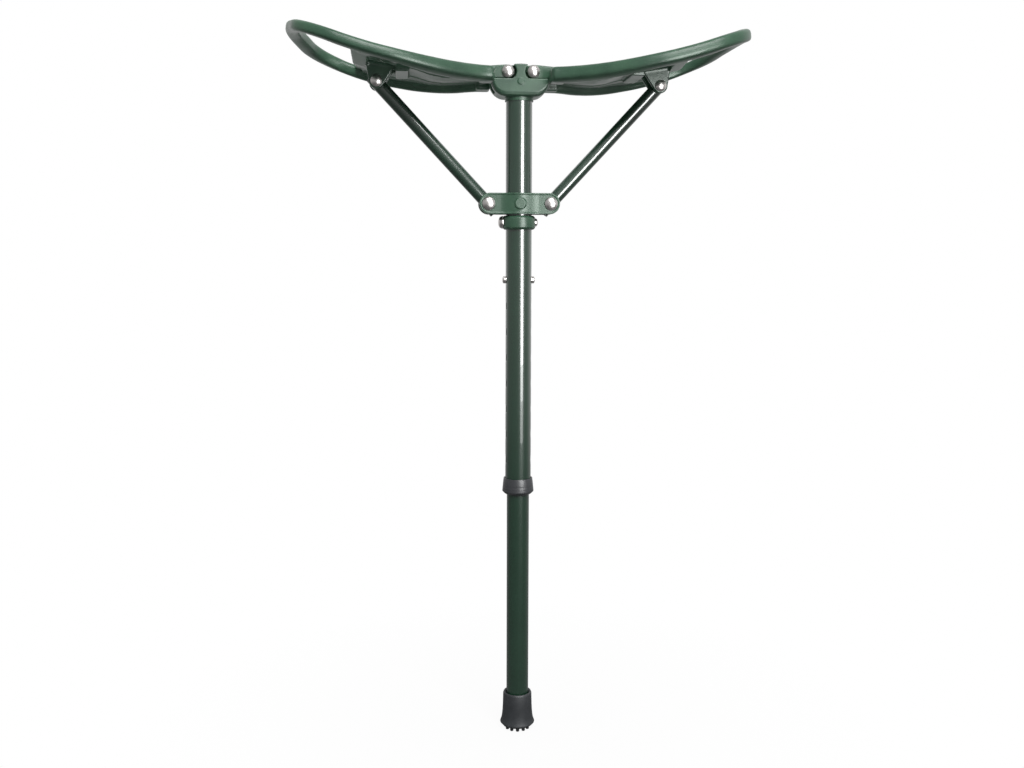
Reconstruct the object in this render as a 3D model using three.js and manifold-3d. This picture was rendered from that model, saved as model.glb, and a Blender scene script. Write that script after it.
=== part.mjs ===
// A one-legged folding stool: two moulded seat halves on a telescopic leg.
// Millimetres, +Z up. The origin is the middle of the foot's underside, on the leg's axis.
// +X runs along the seat to the right, and the seat halves hinge about axes along Y.
// The stool is drawn open, with the leg at its shortest.
import * as THREE from "three";
import { mergeVertices } from "three/addons/utils/BufferGeometryUtils.js";
import Module from "manifold-3d";

const wasm = await Module();
wasm.setup();

// Clearances and overruns
const seatGap = 0.3; // between pieces that touch or are pressed together
const runGap = 0.4; // round what slides or turns
const overrun = 2; // how far a cutter passes the face it leaves by

// Leg tubes
const outerTubeDiameter = 25.4;
const outerTubeWall = 1.2;
const outerTubeEnd = 30.4; // tube below its lowest hole
const innerTubeDiameter = 22.2;
const innerTubeWall = 1.2;
const innerTubeEnd = 13.5; // tube above the buttons
const holeDiameter = 7.6;
const holePitch = 25.4;
const holeCount = 8;
const topHoleDrop = 73; // slider's rivets down to the top hole

// Foot
const ferruleHeight = 37.6;
const ferruleFootRadius = 17.1;
const ferruleNeckRadius = 14.3;
const ferruleFace = 4; // height of the foot's underside above the stud tips
const ferruleChamfer = 1.8;
const ferruleBandHeight = 3; // straight band above the chamfer
const ferruleLipRadius = 12.8;
const ferruleLipHeight = 1.6;
const ferruleFloor = 5; // rubber under the washer
const washerThickness = 1.6;
const washerHoleRadius = 4;
const studRadius = 1.75;
const studSink = 1; // how far a stud starts inside the foot
const studRingRadius = 11.7;
const studRingCount = 12;
const studInnerRingRadius = 6;
const studInnerRingCount = 6;

// Guide collar on the outer tube's lower end
const collarHeight = 16;
const collarSkirt = 4; // length below the outer tube's end
const collarTopRadius = 14.3;
const collarBaseRadius = 15.7;
const collarEndRadius = 13;

// Snap buttons and their spring
const buttonRadius = 3.5;
const buttonProud = 3.3; // how far a tip stands out of the outer tube
const buttonDome = 1.4; // height of the rounded tip
const springThickness = 0.8;
const springWidth = 8;
const springLength = 56;
const springBendRadius = 4.5;
const springTopReach = 6; // leaf above the buttons
const springFlat = 14; // straight leaf below the buttons

// Stop ring and its bolt
const stopRingHeight = 14;
const stopRingRadius = 16;
const boltShankRadius = 2.2;
const boltHeadRadius = 6;
const boltHeadHeight = 5;
const boltTailRadius = 3.9;
const boltTailHeight = 3.6;

// Sliding bracket
const bracketPivotReach = 30; // strut rivets from the leg's axis
const bracketHeight = 20.7;
const bracketCheek = 5; // thickness of the wall on each side of a strut
const bracketHubRadius = 17;
const bracketRimWidth = 1.4;
const bracketRimProud = 0.5;
const bracketDiscRadius = 5.3; // round boss on the middle of the hub, front and back
const bracketDiscProud = 0.3;

// Struts
const strutRise = 112.2; // slider's rivets up to the seat's lugs
const strutDiameter = 12.7;
const strutWall = 1.2;
const strutLowerOverhang = 11;
const strutUpperOverhang = 8;

// Rivets with a flange and a domed head
const rivetShankRadius = 2.8;
const rivetFlangeRadius = 6.3;
const rivetFlangeHeight = 1.5;
const rivetDomeRadius = 4.3;
const rivetDomeHeight = 2.4;
const strutRivetFlangeRadius = 5.9;

// Head block
const hingeReach = 12; // hinge rivets from the leg's axis
const hingeHeight = 653.8;
const headHalfWidth = 28;
const headDepth = 34;
const headDrop = 22.8; // its underside below the hinges
const headCornerRadius = 15;
const headEdgeChamfer = 5;
const headSleeveLength = 4;
const headSleeveWall = 1.1;
const headRoof = 1.9; // material over the end of the tube
const tongueThickness = 13;
const tongueRadius = 6.8;
const bossSeatRadius = 8; // round hollow beside each hinge
const bossShoulder = 6; // height of the boss's corners above the hinges
const pinRadius = 2;
const pinHeadRadius = 3.4;
const pinHeadHeight = 1.2;
const pinDrop = 4.2; // pin's axis below the tube's end
const markRadius = 2.9; // small round boss on the head's face
const markProud = 0.7;
const markDrop = 9.2; // its middle below the hinges

// Seat halves
const seatReach = 199; // hinge axis to the end of the rim's centreline
const seatHalfDepth = 79; // leg's axis to the rim's centreline, front to back
const seatRise = 35.6; // hinge axis up to the end of the rim's centreline
const rimWidth = 13.5;
const rimThickness = 11.3;
const rimLeanDegrees = 8; // how far the rim's inner edge is tipped up
const earRadius = 6.4;
const earReach = 28; // hinge axis to where the ear meets the rim
const earTop = 4.2; // ear's upper edge above the hinge axis at its outer end
const earThickness = 8.4;
const panelStart = 22; // reach from the hinge axis
const panelCrown = 0.8; // panel's top under the rim's top
const panelDish = 2;
const panelLip = 1; // panel's lower edge below the rim's centreline
const ribDepth = 2.2;
const gripBarInset = 68; // its inner edge back from the end of the rim
const gripBarWidth = 14;
const gripBarThickness = 9;
const lugPivotInset = 76; // back from the end of the rim
const lugPivotDrop = 10.1;
const lugRadius = 7.6;
const lugThickness = 3.8;
const lugRootInside = 18; // lug's root from its pivot towards the hinge
const lugRootOutside = 10;
const lugRootDrop = 2; // lug's root below the rim's centreline
const bridgeInset = 30; // cross block beside the lugs, from their pivot
const bridgeWidth = 12;
const bridgeHalfDepth = 24;
const bridgeDrop = 3.2; // its underside below the hinge axis

// Smoothness
const roundSides = 28;
const smallSides = 12;
const holeSides = 10;
const studSides = 8;
const rimStations = 42;
const panelStations = 10;

// Rim of a seat half, from the ear to the end: shares of seatReach, seatHalfDepth and seatRise
const rimShares = [
  [0.12, 0.177, -0.025],
  [0.181, 0.456, -0.126],
  [0.241, 0.603, -0.126],
  [0.367, 0.797, -0.084],
  [0.518, 0.958, 0.039],
  [0.643, 1, 0.194],
  [0.744, 1, 0.357],
  [0.844, 0.95, 0.559],
  [0.931, 0.77, 0.758],
  [0.974, 0.46, 0.9],
  [1, 0, 1],
];

// Rim section, a quarter of it: shares of half its width and half its thickness
const rimSectionShares = [
  [1, 0],
  [0.93, 0.62],
  [0.62, 0.93],
];

// Keel under the middle of the panel: shares of seatReach, and of seatRise from the hinge axis
const keelShares = [
  [0.1, -0.17],
  [0.181, -0.2],
  [0.241, -0.225],
  [0.306, -0.235],
  [0.367, -0.17],
  [0.427, -0.04],
  [0.478, 0.05],
  [0.72, 0.27],
];

// Ribs under the panel: shares of its half width
const ribPlaceShares = [0.34, 0.64];
const ribHalfWidthShare = 0.022;

// Derived sizes
const outerTubeRadius = outerTubeDiameter / 2;
const outerTubeBore = outerTubeRadius - outerTubeWall;
const innerTubeRadius = innerTubeDiameter / 2;
const innerTubeBore = innerTubeRadius - innerTubeWall;
const strutRadius = strutDiameter / 2;
const washerBottom = ferruleFace + ferruleFloor + seatGap;
const innerTubeBottom = washerBottom + washerThickness + seatGap;
const lugPivotReach = seatReach - lugPivotInset;
const lugPivotX = hingeReach + lugPivotReach;
const lugPivotHeight = hingeHeight - lugPivotDrop;
const bracketPivotHeight = lugPivotHeight - strutRise;
const bracketTop = bracketPivotHeight + bracketHeight / 2;
const bracketBottom = bracketPivotHeight - bracketHeight / 2;
const stopRingTop = bracketBottom - seatGap;
const boltHeight = stopRingTop - stopRingHeight / 2;
const topHoleHeight = bracketPivotHeight - topHoleDrop;
const innerTubeTop = topHoleHeight + innerTubeEnd;
const outerTubeBottom = topHoleHeight - (holeCount - 1) * holePitch - outerTubeEnd;
const headBottom = hingeHeight - headDrop;
const headShelf = hingeHeight - earRadius - seatGap;
const outerTubeTop = headShelf - headRoof - seatGap;
const forkGap = strutRadius + seatGap; // half the width of every slot that holds a strut
const bracketFace = forkGap + bracketCheek;
const headSleeveRadius = outerTubeRadius + seatGap + headSleeveWall;
const earInner = tongueThickness / 2 + seatGap;
const gripBarStart = seatReach - gripBarInset;

// Materials
const moulding = new THREE.MeshStandardMaterial({ color: 0x3d6a4d, roughness: 0.45 });
const paintedSteel = new THREE.MeshStandardMaterial({ color: 0x1f3d2c, roughness: 0.25, metalness: 0.2 });
const collarPlastic = new THREE.MeshStandardMaterial({ color: 0x2b2e31, roughness: 0.5 });
const rubber = new THREE.MeshStandardMaterial({ color: 0x1e2022, roughness: 0.8 });
const rivetSteel = new THREE.MeshStandardMaterial({ color: 0xc9c9c6, roughness: 0.3, metalness: 1 });
const springSteel = new THREE.MeshStandardMaterial({ color: 0x8d9094, roughness: 0.4, metalness: 1 });

// A closed three.js geometry as a solid with its faces outwards
function solid(geometry) {
  const bare = geometry.index ? geometry.toNonIndexed() : geometry.clone();
  bare.deleteAttribute("normal");
  bare.deleteAttribute("uv");
  const merged = mergeVertices(bare, 1e-4);
  const build = (triVerts) =>
    new wasm.Manifold(
      new wasm.Mesh({ numProp: 3, vertProperties: merged.attributes.position.array, triVerts }),
    );
  const made = build(new Uint32Array(merged.index.array));
  if (made.volume() > 0) return made;
  return build(new Uint32Array(merged.index.array).reverse());
}

// A solid as a geometry that a mesh can show
function geometryOf(made) {
  const mesh = made.getMesh();
  const geometry = new THREE.BufferGeometry();
  const positions = new Float32Array(mesh.numVert * 3);
  for (let i = 0; i < mesh.numVert; i++) {
    positions.set(mesh.vertProperties.subarray(i * mesh.numProp, i * mesh.numProp + 3), i * 3);
  }
  geometry.setAttribute("position", new THREE.BufferAttribute(positions, 3));
  geometry.setIndex(new THREE.BufferAttribute(mesh.triVerts, 1));
  geometry.computeVertexNormals();
  return geometry;
}

// A turned piece on the Z axis, from a closed outline of [radius, height]
function turned(outline, sides = roundSides) {
  const points = outline.map(([radius, height]) => new THREE.Vector2(radius, height));
  if (outline[0][0] > 0) points.push(points[0].clone());
  return new THREE.LatheGeometry(points, sides).rotateX(Math.PI / 2);
}

function sleeve(outerRadius, innerRadius, bottom, top, sides = roundSides) {
  return solid(
    turned(
      [
        [outerRadius, bottom],
        [outerRadius, top],
        [innerRadius, top],
        [innerRadius, bottom],
      ],
      sides,
    ),
  );
}

// A round bar between two points
function bar(radius, from, to, sides = smallSides) {
  const along = to.clone().sub(from);
  const geometry = new THREE.CylinderGeometry(radius, radius, along.length(), sides);
  const turn = new THREE.Quaternion().setFromUnitVectors(
    new THREE.Vector3(0, 1, 0),
    along.clone().normalize(),
  );
  const middle = from.clone().add(to).multiplyScalar(1 / 2);
  geometry.applyQuaternion(turn).translate(middle.x, middle.y, middle.z);
  return solid(geometry);
}

// A bar along Y through (x, z), and one along X through (y, z)
const barY = (radius, x, z, from, to, sides) =>
  bar(radius, new THREE.Vector3(x, from, z), new THREE.Vector3(x, to, z), sides);
const barX = (radius, z, from, to, sides) =>
  bar(radius, new THREE.Vector3(from, 0, z), new THREE.Vector3(to, 0, z), sides);

// A plate with its outline in the XZ plane and its faces at y = front and y = back
function plate(outline, front, back) {
  const shape = outline instanceof THREE.Shape ? outline : new THREE.Shape(outline);
  const geometry = new THREE.ExtrudeGeometry(shape, {
    depth: back - front,
    bevelEnabled: false,
  });
  return solid(geometry.rotateX(Math.PI / 2).translate(0, back, 0));
}

function block(x0, x1, y0, y1, z0, z1) {
  const geometry = new THREE.BoxGeometry(x1 - x0, y1 - y0, z1 - z0);
  return solid(geometry.translate((x0 + x1) / 2, (y0 + y1) / 2, (z0 + z1) / 2));
}

// Points of a circle, from one angle to another, in a plate's plane
function arcPoints(x, z, radius, from = 0, to = 2 * Math.PI, steps = 2 * smallSides) {
  const points = [];
  for (let i = 0; i <= steps; i++) {
    const angle = from + ((to - from) * i) / steps;
    points.push(new THREE.Vector2(x + radius * Math.cos(angle), z + radius * Math.sin(angle)));
  }
  return points;
}

// The tight outline round a set of points
function hull(points) {
  const sorted = [...points].sort((a, b) => a.x - b.x || a.y - b.y);
  const cross = (o, a, b) => (a.x - o.x) * (b.y - o.y) - (a.y - o.y) * (b.x - o.x);
  const half = (list) => {
    const line = [];
    for (const point of list) {
      while (line.length > 1 && cross(line.at(-2), line.at(-1), point) <= 1e-9) line.pop();
      line.push(point);
    }
    return line.slice(0, -1);
  };
  return [...half(sorted), ...half(sorted.reverse())];
}

// A solid through a row of rings, each with its flat outline and its points in space
function loft(rings) {
  const count = rings[0].points.length;
  const vertices = rings.flatMap((ring) => ring.points);
  const index = [];
  for (let i = 0; i < rings.length - 1; i++) {
    for (let j = 0; j < count; j++) {
      const a = i * count + j;
      const b = i * count + ((j + 1) % count);
      index.push(a, b, a + count, b, b + count, a + count);
    }
  }
  const cap = (ring, start, flip) => {
    for (const [a, b, c] of THREE.ShapeUtils.triangulateShape(ring.flat, [])) {
      index.push(start + a, start + (flip ? c : b), start + (flip ? b : c));
    }
  };
  const turnsLeft = THREE.ShapeUtils.area(rings[0].flat) > 0;
  cap(rings[0], 0, turnsLeft);
  cap(rings.at(-1), (rings.length - 1) * count, !turnsLeft);
  const geometry = new THREE.BufferGeometry().setFromPoints(vertices);
  geometry.setIndex(index);
  return solid(geometry);
}

const join = (first, ...rest) => rest.reduce((sum, next) => sum.add(next), first);
const cut = (body, ...tools) => tools.reduce((left, tool) => left.subtract(tool), body);

function lowerTube() {
  const wall = sleeve(innerTubeRadius, innerTubeBore, innerTubeBottom, innerTubeTop);
  const reach = innerTubeRadius + overrun;
  return cut(wall, barX(holeDiameter / 2, topHoleHeight, -reach, reach, holeSides));
}

function outerTube() {
  const wall = sleeve(outerTubeRadius, outerTubeBore, outerTubeBottom, outerTubeTop);
  const reach = outerTubeRadius + overrun;
  const holes = [];
  for (let i = 0; i < holeCount; i++) {
    holes.push(barX(holeDiameter / 2, topHoleHeight - i * holePitch, -reach, reach, holeSides));
  }
  const boltHole = barX(boltShankRadius + seatGap, boltHeight, -reach, reach);
  const pinHole = barY(pinRadius + seatGap, 0, outerTubeTop - pinDrop, -reach, reach);
  return cut(wall, ...holes, boltHole, pinHole);
}

function ferrule() {
  const bore = innerTubeRadius + seatGap;
  const floor = ferruleFace + ferruleFloor;
  const bandBottom = ferruleFace + ferruleChamfer;
  const cup = solid(
    turned([
      [0, ferruleFace],
      [ferruleFootRadius - ferruleChamfer, ferruleFace],
      [ferruleFootRadius, bandBottom],
      [ferruleFootRadius, bandBottom + ferruleBandHeight],
      [ferruleNeckRadius, ferruleHeight],
      [ferruleLipRadius, ferruleHeight],
      [ferruleLipRadius, ferruleHeight + ferruleLipHeight],
      [bore, ferruleHeight + ferruleLipHeight],
      [bore, floor],
      [0, floor],
    ]),
  );
  const stud = (radius, angle) => {
    const x = radius * Math.cos(angle);
    const y = radius * Math.sin(angle);
    const top = new THREE.Vector3(x, y, ferruleFace + studSink);
    return bar(studRadius, new THREE.Vector3(x, y, 0), top, studSides);
  };
  const studs = [stud(0, 0)];
  for (let i = 0; i < studRingCount; i++) {
    studs.push(stud(studRingRadius, (i / studRingCount) * 2 * Math.PI));
  }
  for (let i = 0; i < studInnerRingCount; i++) {
    studs.push(stud(studInnerRingRadius, ((i + 1 / 2) / studInnerRingCount) * 2 * Math.PI));
  }
  return join(cup, ...studs);
}

const washer = () =>
  sleeve(innerTubeRadius, washerHoleRadius, washerBottom, washerBottom + washerThickness);

function guideCollar() {
  const bottom = outerTubeBottom - seatGap - collarSkirt;
  const ledge = outerTubeBottom - seatGap;
  const tubeBore = outerTubeRadius + seatGap;
  const slideBore = innerTubeRadius + runGap;
  return solid(
    turned([
      [slideBore, bottom],
      [collarEndRadius, bottom],
      [collarBaseRadius, ledge],
      [collarTopRadius, bottom + collarHeight],
      [tubeBore, bottom + collarHeight],
      [tubeBore, ledge],
      [slideBore, ledge],
    ]),
  );
}

// Bent leaf spring inside the lower tube, with its open end up
const springFace = innerTubeBore - springThickness - seatGap - seatGap; // outer face of each leaf

function snapSpring() {
  const top = topHoleHeight + springTopReach;
  const knee = topHoleHeight - springFlat;
  const bend = top - springLength + springBendRadius;
  const side = (inset, radius) => [
    new THREE.Vector2(-springFace + inset, top),
    new THREE.Vector2(-springFace + inset, knee),
    ...arcPoints(0, bend, radius, Math.PI, 2 * Math.PI, smallSides),
    new THREE.Vector2(springFace - inset, knee),
    new THREE.Vector2(springFace - inset, top),
  ];
  const outside = side(0, springBendRadius);
  const inside = side(springThickness, springBendRadius - springThickness).reverse();
  return plate([...outside, ...inside], -springWidth / 2, springWidth / 2);
}

// Button of the right side, along +X
function snapButton() {
  const base = springFace + seatGap;
  const tip = outerTubeRadius + buttonProud;
  const dome = [];
  for (let i = 0; i <= smallSides / 4; i++) {
    const angle = (i / (smallSides / 4)) * (Math.PI / 2);
    dome.push([buttonRadius * Math.cos(angle), tip - buttonDome * (1 - Math.sin(angle))]);
  }
  dome[dome.length - 1][0] = 0;
  return solid(turned([[0, base], [buttonRadius, base], ...dome], smallSides).rotateY(Math.PI / 2));
}

function stopRing() {
  const ring = sleeve(stopRingRadius, outerTubeRadius + seatGap, stopRingTop - stopRingHeight, stopRingTop);
  const reach = stopRingRadius + overrun;
  const boltHole = barX(boltShankRadius + seatGap, boltHeight, -reach, reach);
  const seatDepth = Math.sqrt(stopRingRadius ** 2 - boltHeadRadius ** 2);
  const headSeat = barX(boltHeadRadius + seatGap, boltHeight, -reach, -seatDepth);
  const tailSeat = barX(boltTailRadius + seatGap, boltHeight, seatDepth, reach);
  return cut(ring, boltHole, headSeat, tailSeat);
}

// Bolt through the stop ring and the outer tube, head on the left
function stopRingBolt() {
  const seat = Math.sqrt(stopRingRadius ** 2 - boltHeadRadius ** 2) + seatGap;
  const headBand = boltHeadHeight / 2;
  const tailBand = boltTailHeight / 2;
  const outline = [
    [0, -seat - boltHeadHeight],
    [boltHeadRadius / 2, -seat - boltHeadHeight + headBand / 4],
    [boltHeadRadius, -seat - headBand],
    [boltHeadRadius, -seat],
    [boltShankRadius, -seat],
    [boltShankRadius, seat],
    [boltTailRadius, seat],
    [boltTailRadius, seat + tailBand],
    [boltTailRadius / 2, seat + boltTailHeight - tailBand / 4],
    [0, seat + boltTailHeight],
  ];
  return solid(turned(outline, smallSides).rotateY(Math.PI / 2).translate(0, 0, boltHeight));
}

function sliderBracket() {
  const endRadius = bracketHeight / 2;
  const stadium = (inset) =>
    hull([
      ...arcPoints(-bracketPivotReach, bracketPivotHeight, endRadius - inset),
      ...arcPoints(bracketPivotReach, bracketPivotHeight, endRadius - inset),
    ]);
  const rim = new THREE.Shape(stadium(0));
  rim.holes.push(new THREE.Path(stadium(bracketRimWidth)));
  const rimFace = bracketFace + bracketRimProud;
  const reach = bracketPivotReach + endRadius + overrun;
  const slot = block(-reach, reach, -forkGap, forkGap, bracketBottom - overrun, bracketTop + overrun);
  const hub = sleeve(bracketHubRadius, outerTubeRadius, bracketBottom, bracketTop);
  const fork = cut(plate(stadium(0), -bracketFace, bracketFace), slot);
  const discFace = bracketHubRadius + bracketDiscProud;
  const disc = barY(bracketDiscRadius, 0, bracketPivotHeight, -discFace, discFace);
  const dressed = join(
    fork,
    hub,
    plate(rim, -rimFace, -bracketFace + bracketRimProud),
    plate(rim, bracketFace - bracketRimProud, rimFace),
    disc,
  );
  const bore = sleeve(outerTubeRadius + runGap, 0, bracketBottom - overrun, bracketTop + overrun);
  const socket = sleeve(
    headSleeveRadius + runGap,
    0,
    bracketTop - headSleeveLength - runGap,
    bracketTop + overrun,
  );
  const rivetHoles = [-1, 1].map((side) =>
    barY(
      rivetShankRadius + seatGap,
      side * bracketPivotReach,
      bracketPivotHeight,
      -rimFace - overrun,
      rimFace + overrun,
    ),
  );
  return cut(dressed, bore, socket, ...rivetHoles);
}

// Rivet along Y: shank from `inner` to the face it sits on, then flange and domed head
function rivetOutline(inner, face, flangeRadius) {
  const flange = face + seatGap;
  const dome = flange + rivetFlangeHeight;
  return [
    [rivetShankRadius, inner],
    [rivetShankRadius, flange],
    [flangeRadius, flange],
    [flangeRadius, dome],
    [rivetDomeRadius, dome],
    [rivetDomeRadius * Math.cos(Math.PI / 6), dome + rivetDomeHeight / 2],
    [rivetDomeRadius / 2, dome + rivetDomeHeight * Math.cos(Math.PI / 6)],
    [0, dome + rivetDomeHeight],
  ];
}

// The turned outline stands along Z, and a rivet lies along Y
const alongY = (geometry, x, z) => solid(geometry.rotateX(Math.PI / 2).translate(x, 0, z));

function shortRivet(x, z, side) {
  const half = [[0, forkGap], ...rivetOutline(forkGap, bracketFace, rivetFlangeRadius)];
  const geometry = turned(half, smallSides);
  if (side > 0) geometry.rotateX(Math.PI);
  return alongY(geometry, x, z);
}

function throughRivet(x, z, face, flangeRadius) {
  const half = rivetOutline(0, face, flangeRadius).slice(1);
  const mirrored = half.map(([radius, height]) => [radius, -height]).reverse();
  return alongY(turned([...mirrored, ...half], smallSides), x, z);
}

// Strut of the right side, from the bracket's rivet to the seat half's lug
function strut() {
  const from = new THREE.Vector3(bracketPivotReach, 0, bracketPivotHeight);
  const to = new THREE.Vector3(lugPivotX, 0, lugPivotHeight);
  const along = to.clone().sub(from).normalize();
  const bottom = from.clone().addScaledVector(along, -strutLowerOverhang);
  const top = to.clone().addScaledVector(along, strutUpperOverhang);
  const past = strutRadius + overrun;
  const hole = (pivot) => barY(rivetShankRadius + seatGap, pivot.x, pivot.z, -past, past);
  const bore = bar(
    strutRadius - strutWall,
    bottom.clone().addScaledVector(along, -overrun),
    top.clone().addScaledVector(along, overrun),
  );
  return cut(bar(strutRadius, bottom, top), bore, hole(from), hole(to));
}

function headBlock() {
  const half = headDepth / 2;
  const tongue = tongueThickness / 2;
  const cornerX = headHalfWidth - headCornerRadius;
  const cornerZ = headBottom + headCornerRadius;
  const body = plate(
    [
      new THREE.Vector2(headHalfWidth, headShelf),
      new THREE.Vector2(-headHalfWidth, headShelf),
      ...arcPoints(-cornerX, cornerZ, headCornerRadius, Math.PI, 1.5 * Math.PI, smallSides),
      ...arcPoints(cornerX, cornerZ, headCornerRadius, 1.5 * Math.PI, 2 * Math.PI, smallSides),
    ],
    -half,
    half,
  );
  // The front and back lower edges are cut at a slant
  const slant = new THREE.ExtrudeGeometry(
    new THREE.Shape([
      new THREE.Vector2(-half, headShelf + overrun),
      new THREE.Vector2(-half, headBottom + headEdgeChamfer),
      new THREE.Vector2(-half + headEdgeChamfer, headBottom),
      new THREE.Vector2(half - headEdgeChamfer, headBottom),
      new THREE.Vector2(half, headBottom + headEdgeChamfer),
      new THREE.Vector2(half, headShelf + overrun),
    ]),
    { depth: 2 * headHalfWidth, bevelEnabled: false },
  );
  slant.rotateX(Math.PI / 2).rotateZ(Math.PI / 2).translate(-headHalfWidth, 0, 0);
  const tongueBody = plate(
    hull([
      ...arcPoints(-hingeReach, hingeHeight, tongueRadius),
      ...arcPoints(hingeReach, hingeHeight, tongueRadius),
      new THREE.Vector2(-hingeReach, headShelf - overrun),
      new THREE.Vector2(hingeReach, headShelf - overrun),
    ]),
    -tongue,
    tongue,
  );
  const seatAngle = Math.asin((hingeHeight - headShelf) / bossSeatRadius);
  const shoulderAngle = Math.asin(bossShoulder / bossSeatRadius);
  const hollow = arcPoints(
    hingeReach,
    hingeHeight,
    bossSeatRadius,
    Math.PI + seatAngle,
    Math.PI - shoulderAngle,
    smallSides / 2,
  );
  const rightSide = [new THREE.Vector2(hollow[0].x, headShelf - overrun), ...hollow];
  const leftSide = rightSide.map((point) => new THREE.Vector2(-point.x, point.y)).reverse();
  const crown = new THREE.Vector2(0, hingeHeight + tongueRadius);
  const boss = plate([...rightSide, crown, ...leftSide], -half, half);
  const collar = sleeve(
    headSleeveRadius,
    outerTubeRadius,
    headBottom - headSleeveLength,
    headBottom + overrun,
  );
  const markHeight = hingeHeight - markDrop;
  const mark = barY(markRadius, 0, markHeight, -half - markProud, -half + overrun);
  const bore = sleeve(
    outerTubeRadius + seatGap,
    0,
    headBottom - headSleeveLength - overrun,
    outerTubeTop + seatGap,
  );
  const hingeHoles = [-1, 1].map((side) =>
    barY(rivetShankRadius + runGap, side * hingeReach, hingeHeight, -half, half),
  );
  const pinTop = outerTubeTop - pinDrop;
  const pinEnd = (outerTubeRadius + half) / 2;
  const pinHole = barY(pinRadius + seatGap, 0, pinTop, -pinEnd - seatGap, half + overrun);
  const slotStart = strutSlotStart();
  const strutSlot = (side) =>
    block(
      Math.min(side * slotStart, side * (headHalfWidth + overrun)),
      Math.max(side * slotStart, side * (headHalfWidth + overrun)),
      -forkGap - seatGap,
      forkGap + seatGap,
      headBottom - overrun,
      headShelf + overrun,
    );
  const shaped = body.intersect(solid(slant));
  return cut(
    join(shaped, tongueBody, boss, collar, mark),
    bore,
    ...hingeHoles,
    pinHole,
    strutSlot(-1),
    strutSlot(1),
  );
}

// Where a folded strut passes the head block, nearly upright
const strutSlotStart = () => bracketPivotReach - strutRadius - seatGap;

// Pin that holds the head block on the tube, driven in from behind
function headPin() {
  const half = headDepth / 2;
  const height = outerTubeTop - pinDrop;
  const end = (outerTubeRadius + half) / 2;
  const outline = [
    [0, -end],
    [pinRadius, -end],
    [pinRadius, half + seatGap],
    [pinHeadRadius, half + seatGap],
    [pinHeadRadius, half + seatGap + pinHeadHeight / 2],
    [pinHeadRadius / 2, half + seatGap + pinHeadHeight],
    [0, half + seatGap + pinHeadHeight],
  ];
  return alongY(turned(outline, smallSides).rotateX(Math.PI), 0, height);
}

// Centreline of a seat half's rim, from the front ear round the end to the back ear
const rimLine = (() => {
  const front = rimShares.map(
    ([reach, depth, rise]) =>
      new THREE.Vector3(
        hingeReach + reach * seatReach,
        -depth * seatHalfDepth,
        hingeHeight + rise * seatRise,
      ),
  );
  const back = front
    .slice(0, -1)
    .reverse()
    .map((point) => new THREE.Vector3(point.x, -point.y, point.z));
  return new THREE.CatmullRomCurve3([...front, ...back], false, "centripetal");
})();

// The rim's depth from the middle and its height at a distance x from the leg's axis
const rimAt = (() => {
  const samples = rimLine.getSpacedPoints(8 * rimStations).slice(0, 4 * rimStations + 1);
  return (x) => {
    const next = samples.findIndex((point) => point.x >= x);
    if (next < 1) return { depth: -samples.at(next).y, height: samples.at(next).z };
    const a = samples[next - 1];
    const b = samples[next];
    const share = (x - a.x) / (b.x - a.x);
    return { depth: -a.y + (a.y - b.y) * share, height: a.z + (b.z - a.z) * share };
  };
})();

function rim() {
  const quarter = rimSectionShares.map(
    ([across, through]) => new THREE.Vector2((across * rimWidth) / 2, (through * rimThickness) / 2),
  );
  const top = [...quarter, ...quarter.slice().reverse().map((p) => new THREE.Vector2(-p.x, p.y))];
  const bottom = top.slice(1, -1).map((p) => new THREE.Vector2(-p.x, -p.y));
  const section = [...top, ...bottom];
  const lean = THREE.MathUtils.degToRad(rimLeanDegrees);
  const rings = [];
  for (let i = 0; i <= rimStations; i++) {
    const share = i / rimStations;
    const centre = rimLine.getPointAt(share);
    const along = rimLine.getTangentAt(share);
    const outward = new THREE.Vector3().crossVectors(along, new THREE.Vector3(0, 0, 1)).normalize();
    const up = new THREE.Vector3().crossVectors(outward, along);
    const across = outward.clone().multiplyScalar(Math.cos(lean)).addScaledVector(up, -Math.sin(lean));
    const through = outward.clone().multiplyScalar(Math.sin(lean)).addScaledVector(up, Math.cos(lean));
    rings.push({
      flat: section,
      points: section.map((p) =>
        centre.clone().addScaledVector(across, p.x).addScaledVector(through, p.y),
      ),
    });
  }
  return loft(rings);
}

// Height of the keel under the panel at a distance x from the leg's axis
function keelAt(x) {
  const reach = (x - hingeReach) / seatReach;
  const start = keelShares.slice(1, -1).filter(([share]) => share < reach).length;
  const [startShare, startRise] = keelShares[start];
  const [endShare, endRise] = keelShares[start + 1];
  const share = (reach - startShare) / (endShare - startShare);
  return hingeHeight + (startRise + (endRise - startRise) * share) * seatRise;
}

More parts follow.
